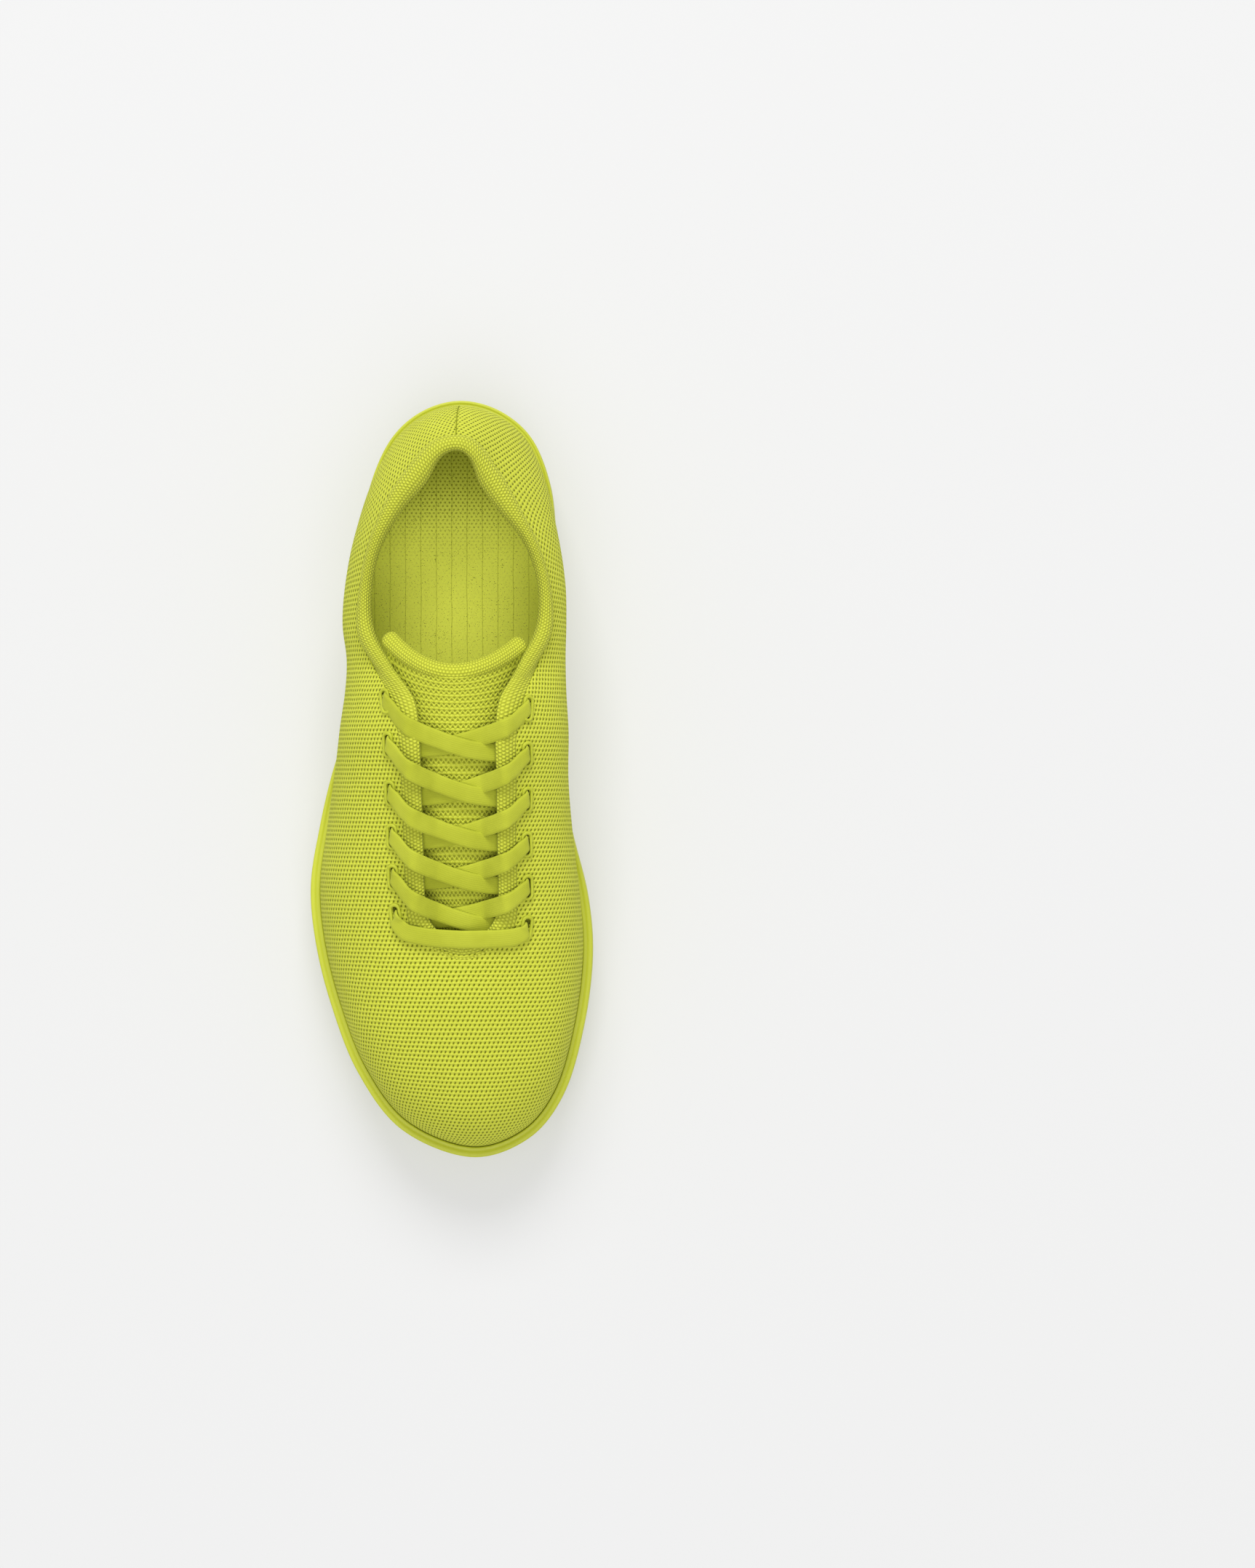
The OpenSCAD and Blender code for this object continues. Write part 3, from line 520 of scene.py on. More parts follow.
def lace_material(name):
    """Flat elastic: very fine cross weave, smooth and slightly brushed."""
    g = Graph(name)
    x, y = g.weave()
    a = g.math("SINE", g.mul(g.add(x, g.mul(y, 0.35)), 12.5))
    b = g.math("SINE", g.mul(g.sub(x, g.mul(y, 0.35)), 12.5))
    weave = g.mul(g.add(g.mul(a, b), 1.0), 0.5)
    fuzz = g.noise(1800, 4, 0.7)
    value = g.add(weave, g.mul(fuzz, 1.1))
    tone = g.noise(60, 3, 0.6)
    color = g.mix(g.remap(tone, 0.3, 0.7), rgb(194, 201, 60), rgb(183, 190, 52))
    # Painted shade and random tone: darker where the weave runs low between the threads, and where the
    # fuzz noise is low.
    color = g.mix(g.remap(value, 1.3, 0.2, 0.0, 0.22, smooth=False), color, rgb(150, 156, 26))
    return g.finish(color, 0.74, g.bump(value, 0.0001, 0.7), sheen=0.05, specular=0.15)


def plastic_material(name, color, dark, rough, spec):
    """Smooth moulded plastic or thread with a trace of grain."""
    g = Graph(name)
    grain = g.noise(1300, 3, 0.6)
    tone = g.remap(g.noise(120, 2), 0.35, 0.65)
    return g.finish(g.mix(tone, color, dark), g.remap(grain, 0.3, 0.7, rough - 0.05, rough + 0.1),
                    g.bump(grain, 0.00006, 0.5), specular=spec)


def board_material(name, color, dark, pitch=900):
    """Woven board or tape, crossed by fine threads."""
    g = Graph(name)
    x, y, z = g.split(g.place())
    a = g.math("SINE", g.mul(x, pitch * 6.3))
    b = g.math("SINE", g.mul(g.add(y, z), pitch * 6.3))
    w = g.add(g.mul(g.mul(a, b), 0.5),
               g.mul(g.noise(700, 3), 0.6))
    # Painted shade and random tone: the colour is darker where the weave and its noise run low.
    return g.finish(g.mix(g.remap(w, -0.3, 0.9), dark, color), 0.85, g.bump(w, 0.0001, 0.6),
                    sheen=0.1, specular=0.2)


M_KNIT = knit_material("upper_knit", 1.68, 1.68, hole_w=0.165, hole_h=0.27)
M_BAND = smooth_knit_material("facing_knit", 1.45, dark=rgb(170, 176, 42), depth=0.0005)
M_TONGUE = knit_material("tongue_knit", 1.75, 1.45, hole=0.6, hole_w=0.2, hole_h=0.3, slant=0.0,
                         stagger=0.5, vee=0.9)
M_ROLL = smooth_knit_material("collar_roll_knit", 1.25, dark=rgb(168, 174, 42), depth=0.0005)
PALE = rgb(226, 232, 78)
M_COLLAR_LINING = smooth_knit_material("collar_lining_knit", 1.1, PALE, rgb(176, 182, 46))
M_TOP_EDGE = smooth_knit_material("tongue_edge_knit", 1.15, PALE, rgb(172, 178, 42))
M_LINING = knit_material("lining_knit", 1.3, 1.2, dark=rgb(140, 145, 26), bright=rgb(214, 221, 62),
                         depth=0.00018, hole=0.4)
M_SOLE = foam_material("midsole_foam_skin", rgb(206, 212, 62), rgb(198, 204, 56), rough=0.46)
M_OUTSOLE = foam_material("outsole_rubber_skin", rgb(182, 190, 34), rgb(172, 180, 30), rough=0.6)
M_INSOLE_FOAM = foam_material("insole_foam_cells", rgb(198, 205, 62), rgb(188, 195, 56), 0.3, 0.8)
M_PADDING = foam_material("padding_foam_cells", rgb(226, 226, 190), rgb(214, 214, 172), 0.3, 0.85)
M_INSOLE = insole_material("insole_cloth_striped")
M_LACE = lace_material("lace_elastic")
M_EYELET = plastic_material("eyelet_moulded", rgb(192, 199, 56), rgb(182, 189, 50), 0.5, 0.25)
M_TIP = plastic_material("lace_tip_film", rgb(214, 220, 90), rgb(204, 211, 80), 0.2, 0.6)
M_BOARD = board_material("strobel_weave", rgb(214, 216, 150), rgb(190, 194, 120))
M_STIFF = board_material("stiffener_sheet", rgb(172, 178, 54), rgb(150, 156, 42), 600)
M_TAPE = board_material("seam_tape_weave", rgb(200, 208, 60), rgb(170, 178, 40), 1100)
M_SEAM = plastic_material("heel_seam_dark", rgb(158, 164, 38), rgb(140, 146, 30), 0.8, 0.1)
# The seam thread is dark partly as its real stitch colour and partly as painted shade of the groove it
# lies in.
M_THREAD = plastic_material("seam_thread", rgb(160, 166, 36), rgb(142, 148, 30), 0.7, 0.2)


def paint(obj, material):
    obj.data.materials.clear()
    obj.data.materials.append(material)


def dress(obj, material, body, slot_name, *nodes):
    """Give a piece its material and moving body, and hide the CAD nodes it stands for; slot_name is not
    used.
    """
    paint(obj, material)
    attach(obj, body)
    if nodes:
        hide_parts(*nodes)


# ------------------------------------------------------- the weave's lie
def solve_field(points, wanted):
    """Scalar over a grid whose steps follow the wanted directions, by least squares."""
    du = points[1:] - points[:-1]
    dt = points[:, 1:] - points[:, :-1]
    gu = ((wanted[1:] + wanted[:-1]) / 2 * du).sum(-1)
    gt = ((wanted[:, 1:] + wanted[:, :-1]) / 2 * dt).sum(-1)
    wu = 1 / np.maximum(1e-3, (du ** 2).sum(-1))
    wt = 1 / np.maximum(1e-3, (dt ** 2).sum(-1))

    def gather(a, b):
        """Sum at every point of the steps that meet there."""
        out = np.zeros(points.shape[:2])
        out[1:] += a
        out[:-1] -= a
        out[:, 1:] += b
        out[:, :-1] -= b
        return out

    r = gather(wu * gu, wt * gt)
    f = np.zeros_like(r)
    p = r.copy()
    rr = (r * r).sum()
    for _ in range(1500):
        ap = gather(wu * (p[1:] - p[:-1]), wt * (p[:, 1:] - p[:, :-1]))
        alpha = rr / max(1e-12, (p * ap).sum())
        f += alpha * p
        r -= alpha * ap
        new = (r * r).sum()
        if new < 1e-9:
            break
        p = r + new / rr * p
        rr = new
    return f


FIELD_U = np.linspace(-HALF, HALF, 273)
FIELD_T = np.linspace(0.0, 1.0, 41)


def weave_field():
    """Rows of loops run across the upper; columns run to the heel and wrap round it."""
    u, t = np.meshgrid(FIELD_U, FIELD_T, indexing="ij")
    p = skin(u, t)
    n = out_normal(u, t)
    tangent = unit(skin(u + 0.02, t) - skin(u - 0.02, t)) * np.sign(u + 1e-6)[..., None]
    y = p[..., 1]
    fall = 0.6 * ease(-85, -135, y) - 0.6 * ease(70, 125, y)
    heelward = np.stack([0 * y, 1 + 0 * y, fall], -1)
    heelward = heelward - (heelward * n).sum(-1, keepdims=True) * n
    turn = (0.3 * ease(60, 125, y))[..., None]
    along = unit((1 - turn) * unit(heelward) - turn * tangent)
    across = np.cross(n, along)
    return np.stack([solve_field(p, across), solve_field(p, along)], -1)


FIELD = weave_field()


def weave_at(u, t):
    """Weave coordinates of the upper's surface; u is counted both ways from the toe."""
    a = np.clip((np.asarray(u) + HALF) / COUNT * (len(FIELD_U) - 1), 0, len(FIELD_U) - 1.001)
    b = np.clip(np.asarray(t) * (len(FIELD_T) - 1), 0, len(FIELD_T) - 1.001)
    i, j = np.floor(a).astype(int), np.floor(b).astype(int)
    fa, fb = (a - i)[..., None], (b - j)[..., None]
    return ((1 - fa) * (1 - fb) * FIELD[i, j] + fa * (1 - fb) * FIELD[i + 1, j]
            + (1 - fa) * fb * FIELD[i, j + 1] + fa * fb * FIELD[i + 1, j + 1])


# ---------------------------------------------------------------- eyelets
# Rib of each eyelet from the throat upward: 1 is the medial side, -1 the lateral.
EYES = {1: [2.95, 4.48, 5.57, 6.55, 7.53, 8.67], -1: [30.47, 29.21, 28.22, 27.3, 26.25, 25.13]}
EYE_T = 0.853
EYE_COUNT = 6
SLOT_LONG = 3.8
SLOT_WIDE = 1.2
SLOT_DEEP = 3


def eye_frame(side, k):
    """Centre of an eyelet, with its directions along and across the row and outward."""
    u = EYES[side][k]
    n = out_normal(u, EYE_T)
    along = unit(skin(u + 0.05, EYE_T) - skin(u - 0.05, EYE_T)) * side
    return skin(u, EYE_T), along, np.cross(along, n) * side, n


def in_slot(p):
    """True for points inside the slotted hole of any eyelet."""
    hit = np.zeros(len(p), bool)
    for side in (1, -1):
        for k in range(EYE_COUNT):
            c, along, across, n = eye_frame(side, k)
            long_way = np.abs((p - c) @ along) < SLOT_LONG
            wide_way = np.abs((p - c) @ across) < SLOT_WIDE
            hit |= long_way & wide_way & (np.abs((p - c) @ n) < SLOT_DEEP)
    return hit


# ------------------------------------------------------------- the upper
def seam_dip(u):
    """Dent in the upper along the centre-back seam, in millimetres."""
    back = HALF - np.abs(from_toe(u))
    return np.exp(-(back / 0.06) ** 2) * 0.5


def build_upper():
    """Knit shell from under the sole's lip up to the seam groove, with the eyelet holes cut."""
    u = np.linspace(-HALF, HALF, COUNT * 24 + 1)
    rows = np.concatenate([[-0.02], np.linspace(0.0, 1.0, 120)])
    uu, rr = np.meshgrid(u, rows, indexing="ij")
    t = np.clip(rr, 0, 1) * groove_t(uu)
    p = point(uu, t, -seam_dip(uu))
    p[:, 0] = skin(u, 0 * u) - [0, 0, 0.6]
    share = collar_share(u)
    fold = [point(u, groove_t(u) + 0.002, -0.06 - 0.29 * share),
            point(u, groove_t(u) + 0.004, -0.2 - 0.9 * share)]
    p = np.concatenate([p] + [q[:, None] for q in fold], 1)
    t_all = np.concatenate([t, t[:, -1:] + 0.003, t[:, -1:] + 0.006], 1)
    field = weave_at(np.broadcast_to(u[:, None], t_all.shape), t_all)
    upper = grid_object("knit_upper_shell", p, field, drop=in_slot)
    dress(upper, M_KNIT, "shoe", "knit", "knit_upper")


# Depth of the collar foam by height, as in part.scad, and how far in the lining's face lies.
FOAM_T = np.array([0.06, 0.16, 0.28, 0.41, 0.54, 0.67, 0.79, 0.88, 0.95])
FOAM_D = np.array([1.4, 1.4, 1.4, 1.6] + [0.55 + f * PADDING for f in (0.5, 0.95, 0.95, 0.6, 0.25)])
LINING_FACE = 2.4


def lining_point(u, s):
    """Point of the collar lining at share s of the knit's height."""
    depth = LINING_FACE + np.interp(s, FOAM_T, FOAM_D)
    return point(u, s * top_t(u), -depth)


def roll_profile(u):
    """Points of the rolled edge at rib u, from the seam groove over the crest and inside."""
    u = np.asarray(u, float)
    lean = unit(curve(LEAN, u))
    edge = curve(EDGE, u)
    wide = by_rib(u, ROLL_WIDE)[..., None]
    inner = by_rib(u, ROLL_IN)[..., None]
    reach = 3 * np.linalg.norm(edge - curve(PULL_2, u), axis=-1) / 1.03

    def off(o, z):
        """Point o outward of the collar's edge and z above it."""
        if o > 0:
            return edge + o * wide * lean + (z - max(0, 0.45 * o - 0.6) * (wide - 1) * 2) * UP
        return edge + o / 1.5 * inner * lean + z * UP

    def face(back, high):
        """Point back from the facing's edge, measured over the skin, and high above it."""
        t = 1 - back / reach
        return skin(u, t) + high * out_normal(u, np.minimum(t, 0.985))

    g = groove_t(u)
    collar = [point(u, g + 0.004, -1.1 + 0 * u), point(u, g + 0.012, 0.2 + 0 * u), off(4.5, -3.0),
              off(4.3, -0.9), off(3.1, 0.8), off(1.4, 1.4), off(-0.3, 0.6), off(-1.35, -1.2),
              off(-1.5, -3.4), lining_point(u, 0.96 + 0 * u)]
    back = (1 - g - 0.004) * reach
    facing = [face(back, -0.14), face(back * 0.88, 0.1), face(back * 0.66, 0.32),
              face(back * 0.42, 0.42), face(back * 0.2, 0.15), face(0.2, -0.85), face(-0.2, -2.1),
              face(0.7, -3.3), face(2.6, -4.0), face(6.5, -4.2)]
    c = collar_share(u)[..., None]
    return np.stack([(1 - c) * f + c * k for f, k in zip(facing, collar)], 0)


def build_roll(name, u0, u1, material, slot_name, node):
    """Padded edge between two ribs: the soft collar roll or a folded facing edge."""
    u = np.linspace(u0, u1, int((u1 - u0) * 20) + 1)
    p = np.swapaxes(spline(roll_profile(u), 46), 0, 1)
    roll = grid_object(name, p, arc_field(p))
    dress(roll, material, "shoe", slot_name, node)


def build_collar_lining():
    u = np.linspace(9.4, 24.4, 300)
    s = np.linspace(0.96, 0.05, 50)
    uu, ss = np.meshgrid(u, s, indexing="ij")
    p = lining_point(uu, ss)
    lining = grid_object("collar_lining_cloth", p, arc_field(p))
    dress(lining, M_COLLAR_LINING, "shoe", "collar_knit", "collar_lining")


def build_vamp_lining():
    u = np.linspace(24.2 - COUNT, 9.6, 360)
    t = np.linspace(0.03, 0.97, 60)
    uu, tt = np.meshgrid(u, t, indexing="ij")
    p = point(uu, tt * top_t(uu), -3.1 + 0 * uu)
    lining = grid_object("vamp_lining_cloth", p, weave_at(uu, tt), flip=True)
    dress(lining, M_LINING, "shoe", "lining", "vamp_lining")


# ------------------------------------------------------------------ sole
def ring_ribs(per_rib):
    """Even rib numbers all the way round the shoe."""
    return np.arange(COUNT * per_rib) / per_rib


def foot_ring(u, out, z):
    """Ring round the foot line, moved outward, at the height z(y)."""
    p = curve(FOOT, u) + np.asarray(out)[..., None] * curve(LEAN, u)
    p[..., 2] = z(p[..., 1])
    return p


def capped_loft(name, rings, caps=(True, True)):
    """Loft of rings round the whole shoe, closed by strips from side to side."""
    rings = np.stack(rings, 0)
    nr, m = rings.shape[:2]
    quads, _ = grid_faces(nr, m, closed_t=True)
    k = np.arange(1, m // 2 - 1)
    middle = np.stack([k, m - k, m - k - 1, k + 1], -1).tolist()
    strips = [[0, m - 1, 1]] + middle + [[m // 2 - 1, m // 2 + 1, m // 2]]
    obj = mesh_object(name, rings, quads)
    bm = bmesh.new()
    bm.from_mesh(obj.data)
    bm.verts.ensure_lookup_table()
    for base, closed, turn in ((0, caps[0], 1), ((nr - 1) * m, caps[1], -1)):
        for strip in strips if closed else []:
            face = bm.faces.new([bm.verts[base + i] for i in strip][::turn])
            face.smooth = True
    bmesh.ops.recalc_face_normals(bm, faces=bm.faces)
    bm.to_mesh(obj.data)
    bm.free()
    return obj


def build_midsole():
    """Foam sidewall with its parting groove, the raised lip and the platform inside."""
    u = ring_ribs(12)
    rim = curve(RIM, u)[:, 0]
    spread = curve(SPREAD, u)[:, 0]

    def wall(inset, part):
        """Ring set in from the rim, at a part of the way from the outsole to the lip."""
        def z(y):
            a = ground_z(y) + OUTSOLE
            return a + (rim_z(y) - a) * part
        return foot_ring(u, rim - inset, z)

    def lip(part, h):
        """Ring on the lip, at a part of its width and h above the rim."""
        a = LIP_GAP + (LIP + h) * spread
        return foot_ring(u, a + (0.93 * rim - a) * part, lambda y: rim_z(y) + h)

    floor = [foot_ring(u, rim - i, lambda y, h=h: ground_z(y) + OUTSOLE + h)
             for i, h in ((6.5, 0.0), (4.6, 0.15), (3.4, 0.7))]
    walls = [wall(i, p) for i, p in (
        (2.1, 0.13), (1.1, 0.22), (0.45, 0.31), (0.1, 0.40), (0.35, 0.44), (0.75, 0.455), (0.35, 0.47),
        (0.05, 0.51), (-0.05, 0.6), (0.05, 0.68), (0.4, 0.77), (0.95, 0.84), (1.25, 0.875),
        (0.95, 0.905), (0.4, 0.93), (0.12, 0.955), (0.1, 0.975), (0.2, 0.99))]
    lips = [lip(1.0, 0.05), lip(0.86, 0.22), lip(0.66, 0.3), lip(0.5, 0.12), lip(0.36, -0.12),
            lip(0.22, 0.1), lip(0.08, 0.16), lip(0.0, 0.02)]
    inner = [foot_ring(u, LIP_GAP + 0 * u, platform_z), foot_ring(u, -8 + 0 * u, platform_z)]
    sole = capped_loft("midsole_moulding", floor + walls + lips + inner)
    dress(sole, M_SOLE, "shoe", "midsole_foam", "midsole")


LUG = np.array([[-2.9, -2.6], [0, -1.2], [2.9, -2.6], [2.9, 2.0], [0, 3.2], [-2.9, 2.0]])
LUG_BEVEL = [(0.0, 1.8), (0.35, 0.25), (0.75, 0.0)]
LUG_STEP_X = 7.2
LUG_STEP_Y = 7.5


def inside(outline, x, y):
    """True when the point lies within the closed outline."""
    a, b = outline, np.roll(outline, -1, 0)
    spans = (a[:, 1] > y) != (b[:, 1] > y)
    rise = np.where(b[:, 1] == a[:, 1], 1e-9, b[:, 1] - a[:, 1])
    xs = (b[:, 0] - a[:, 0]) * (y - a[:, 1]) / rise + a[:, 0]
    return (spans & (x < xs)).sum() % 2 == 1


def build_lugs(outline):
    """Tread: rows of bevelled chevron lugs under the plate, kept within the outline."""
    verts, faces = [], []
    for row in range(-18, 19):
        for col in range(-7, 8):
            pts = LUG + [col * LUG_STEP_X + 3, row * LUG_STEP_Y]
            if not all(inside(outline, *q) for q in pts):
                continue
            start = len(verts)
            middle = pts.mean(0)
            for inset, z in LUG_BEVEL:
                for q in pts:
                    x, y = q + unit(middle - q) * inset
                    verts.append([x, y, ground_z(y) + z])
            for r in range(start, start + 12, 6):
                for k in range(6):
                    a, b = r + k, r + (k + 1) % 6
                    faces.append([a, b, b + 6, a + 6])
            e = start + 12
            faces += [[e, e + 1, e + 4, e + 5], [e + 1, e + 2, e + 3, e + 4]]
    return mesh_object("outsole_lugs", verts, faces, smooth=False)


def build_outsole():
    u = ring_ribs(8)
    rim = curve(RIM, u)[:, 0]
    rings = [foot_ring(u, rim - i, lambda y, h=h: ground_z(y) + h)
             for i, h in ((7.6, 1.7), (6.6, 1.75), (6.1, 2.0), (6.0, 2.4), (6.0, 3.1))]
    plate = capped_loft("outsole_plate", rings)
    lugs = build_lugs(foot_ring(u, rim - 8.2, ground_z)[:, :2])
    for obj in (plate, lugs):
        dress(obj, M_OUTSOLE, "shoe", "outsole_rubber")
    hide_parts("outsole")


# --------------------------------------------------------------- insole
BOARD = 1.4
INSOLE_OUT = 0.5


def build_insole():
    u = ring_ribs(10)
    spread = curve(SPREAD, u)[:, 0]

    def cup(out, h):
        """Ring h above the board, keeping its distance from the leaning wall."""
        return foot_ring(u, out + INSOLE_OUT + spread * (BOARD + h), lambda y: platform_z(y) + BOARD + h)

    def top(out, h):
        """Ring h above the foam, higher at the heel, so that the cover rises into a soft cup."""
        return foot_ring(u, out + INSOLE_OUT + spread * (BOARD + INSOLE + h),
                         lambda y: platform_z(y) + BOARD + INSOLE + h * (1 + 0.4 * ease(20, 100, y)))

    foam = capped_loft("insole_foam_bed", [
        cup(-7.4, 0.0), cup(-6.3, 0.7), cup(-6.1, 2.2), cup(-6.1, INSOLE + 0.4), cup(-6.6, INSOLE + 1.1),
        cup(-8, INSOLE + 0.8), cup(-13, INSOLE - 0.1)])
    dress(foam, M_INSOLE_FOAM, "insole", "insole_foam", "insole_foam")
    cover = capped_loft("insole_cover_cloth", [
        cup(-6.2, INSOLE - 1.2), cup(-5.95, INSOLE + 0.2), top(-5.9, 1.5), top(-6.2, 2.1),
        top(-6.9, 2.2), top(-8.4, 1.75), top(-10.8, 1.25), top(-14, 0.95), top(-19, 0.85),
        top(-24, 0.8)], caps=(False, True))
    dress(cover, M_INSOLE, "insole", "insole_cloth", "insole_cover")


# --------------------------------------------------------------- tongue
# Height of the tongue's face along the shoe, then its half width from root to top.
TZ_Y = np.array([-70, -60, -45, -30, -15, 0, 15, 30, 45, 60], float)
TZ_Z = np.array([56.4, 59.4, 64, 68.4, 72.2, 76.2, 80.2, 83.8, 87.2, 89.5])
TH_V = np.array([0, 0.2, 0.4, 0.7, 0.88, 1.0])
TH_W = np.array([13, 21, 24, 25.5, 26.3, 26])


TONGUE_BEND = 0.0185


def tongue_bend(v):
    return TONGUE_BEND + 0.017 * ease(0.68, 0.93, v)


def tongue_at(a, v, d):
    """Point of the tongue: a runs from side to side, v from root to top, d is depth."""
    side = np.abs(a)
    lift = (17.5 - 1.5 * a) * np.maximum(v, 0) ** 8 * side ** 2
    y = -63 + 107 * v + lift
    x = a * soft_interp(v, TH_V, TH_W, 0.06)
    z = (soft_interp(y - 0.6 * lift, TZ_Y, TZ_Z, 7.5) - tongue_bend(v) * x * x
         + 9 * np.maximum(v, 0) ** 6 * side ** 3 - 0.9 * (1 - v) ** 3)
    return np.stack([4.2 - 2.4 * v + x, y, z - d], -1)


def tongue_depth(a, share=1.0):
    """Thickness of the padded tongue, thinner towards its sides."""
    return np.maximum(2.2, TONGUE_DEEP * share * (1 - 0.5 * np.abs(a) ** 3))


def build_tongue_roll():
    """Soft roll along the tongue's top edge, rounded off at both ears."""
    a = np.linspace(-1.0, 1.0, 221)
    deep = tongue_depth(a)
    centre = tongue_at(a, np.full_like(a, 0.966), deep / 2)
    s = unit(np.gradient(centre, axis=0))
    n = unit(UP - (s @ UP)[:, None] * s)
    g = np.cross(n, s)
    run = run_along(centre)
    end = np.clip(np.minimum(run, run[-1] - run) / 3.0, 0, 1)
    soft = np.sqrt(np.clip(1 - (1 - end) ** 2, 1e-4, 1))
    cap = tube(centre, g, n, 3.5 * soft, np.maximum(deep / 2 * 1.05, 2.6) * soft, 36)
    return grid_object("tongue_top_edge", cap, arc_field(cap, closed_t=True), closed_t=True)


def build_tongue():
    """Padded tongue: knit face, cloth lining and a rolled top edge."""
    half = np.linspace(-0.9, 0.9, 61)
    end = np.linspace(0, math.pi, 9)[1:-1]

    def section(v):
        h = tongue_depth(half, 0.62 + 0.38 * ease(0, 0.25, v)) / 2
        mid = tongue_at(half, np.full_like(half, v), h)
        face = mid + h[:, None] * UP
        back = (mid - h[:, None] * UP)[::-1]
        bend = np.stack([np.sin(end), 0 * end, np.cos(end)], -1) * h[-1]
        return np.concatenate([face, mid[-1] + bend, back, mid[0] - bend], 0)

    body = np.stack([section(v) for v in np.linspace(0.0, 0.962, 110)], 0)
    nf = len(half)
    ne = len(end)
    front = np.concatenate([body[:, -ne:], body[:, :nf + ne]], 1)
    rear = body[:, nf + ne - 1:-ne + 1]
    face = grid_object("tongue_face_knit", front, arc_field(front)[..., ::-1])
    back = grid_object("tongue_lining_cloth", rear, arc_field(rear)[..., ::-1])
    roll = build_tongue_roll()
    dress(face, M_TONGUE, "tongue", "knit", "tongue_face")
    dress(back, M_LINING, "tongue", "lining", "tongue_lining")
    dress(roll, M_TOP_EDGE, "tongue", "collar_knit", "tongue_top_roll")


# ----------------------------------------------------------------- lace
UNDER = 4.6
TAIL = 18
# A strap's way across and down between its two eyelets, and its share of the full width.
STRAP_X = [0.04, 0.12, 0.2, 0.3, 0.42, 0.57, 0.74, 0.9]
STRAP_Y = [0.12, 0.36, 0.49, 0.6, 0.7, 0.82, 0.93, 0.98]
STRAP_WIDE = [0.8] * 3 + [0.85, 0.95] + [1] * 7 + [0.8]
LOW_STRAP = 1.5
HIGH_STRAP = 3.2
ON_FACING = 1.7
# The straight bar of lace at the foot of the throat, from the medial side across.
BAR = np.array([[28.6, -58, 64], [25, -59.7, 64.7], [18.9, -60.3, 65.9], [12, -60.5, 66.6],
                [4.7, -60.6, 66.7], [-3, -60.2, 66.6], [-9.5, -59.6, 66.1], [-16.6, -58.2, 64.7],
                [-19.8, -55.2, 64.2]])
BAR_WIDE = [0.8, 0.75, 0.75, 0.88] + [1] * 7 + [0.88, 0.75, 0.75, 0.8]


def eye_p(side, k, d):
    """Point d outside the middle of an eyelet."""
    return point(np.float64(EYES[side][k]), EYE_T, np.float64(d))


def lip_p(u, d):
    """Point d outside the facing's edge."""
    return point(np.float64(u), 0.975, np.float64(d))


def tongue_top(x, y):
    """Height of the tongue's face under the lace."""
    return np.interp(y, TZ_Y, TZ_Z) - TONGUE_BEND * (x - 3) ** 2


def strap(side, k):
    """Points of the strap from eyelet k on one side to the eyelet below it on the other."""
    a, b = eye_p(side, k, 0), eye_p(-side, k - 1, 0)
    along = eye_frame(side, k)[1]
    la = lip_p(EYES[side][k], 0)
    lb = lip_p(EYES[-side][k - 1], -UNDER - 0.3).copy()
    lb[1] = b[1] + (0.4 if side < 0 else -1.5)
    lift = HIGH_STRAP if side < 0 else LOW_STRAP
    route = [eye_p(side, k, -UNDER - 0.6) + 0.6 * along, eye_p(side, k, 0.3) + along,
             eye_p(side, k, 1.9) + 0.9 * along]
    for f, g in zip(STRAP_X, STRAP_Y):
        x = a[0] + (lb[0] - a[0]) * f
        y = a[1] + (lb[1] - a[1]) * g
        e = float(ease(0.2, 0.45, f))
        over = a[2] + (la[2] - a[2]) * min(1, f / 0.2) + ON_FACING
        sag = tongue_top(x, y) + lift * (1 - 0.2 * float(ease(0.6, 0.9, f)))
        route.append(np.array([x, y, over * (1 - e) + sag * e]))
    return route + [lb, (b + lb) / 2 - [0, 0, UNDER / 2 + 0.9]]


def tail(side):
    """Loose end of the lace, hanging inside the topmost eyelet."""
    p = eye_p(side, EYE_COUNT - 1, 0)
    return [p + [side * 2.2, 8, -TAIL], p + [side * 2.2, 5, -13], p + [side * 0.8, 1, -8]]


def lace_path():
    """Points along the whole lace and its width at each: up one way, down the other."""
    last = EYE_COUNT - 1
    one = [q for k in range(last, 0, -1) for q in strap(-1 if k % 2 else 1, k)]
    two = [q for k in range(last, 0, -1) for q in strap(1 if k % 2 else -1, k)]
    ends = {side: [eye_p(side, 0, d) for d in (-UNDER - 0.6, 0.3, 1.9)] for side in (1, -1)}
    route = tail(-1) + one + ends[1] + list(BAR) + ends[-1][::-1] + two[::-1] + tail(1)[::-1]
    wide = [0.8] * 3 + STRAP_WIDE * last + BAR_WIDE + STRAP_WIDE[::-1] * last + [0.8] * 3
    return np.array(route, float), np.array(wide, float)


def relax(values, passes):
    """Soften a run of values by averaging each with its neighbours, keeping the ends."""
    for _ in range(passes):
        inner = (values[:-2] + 2 * values[1:-1] + values[2:]) / 4
        values = np.concatenate([values[:1], inner, values[-1:]])
    return values


LACE_HALF_WIDTH = 3.5
LACE_HALF_THICK = 0.75
LACE_BROADWAY = np.array([0.0, 1.0, 0.25])


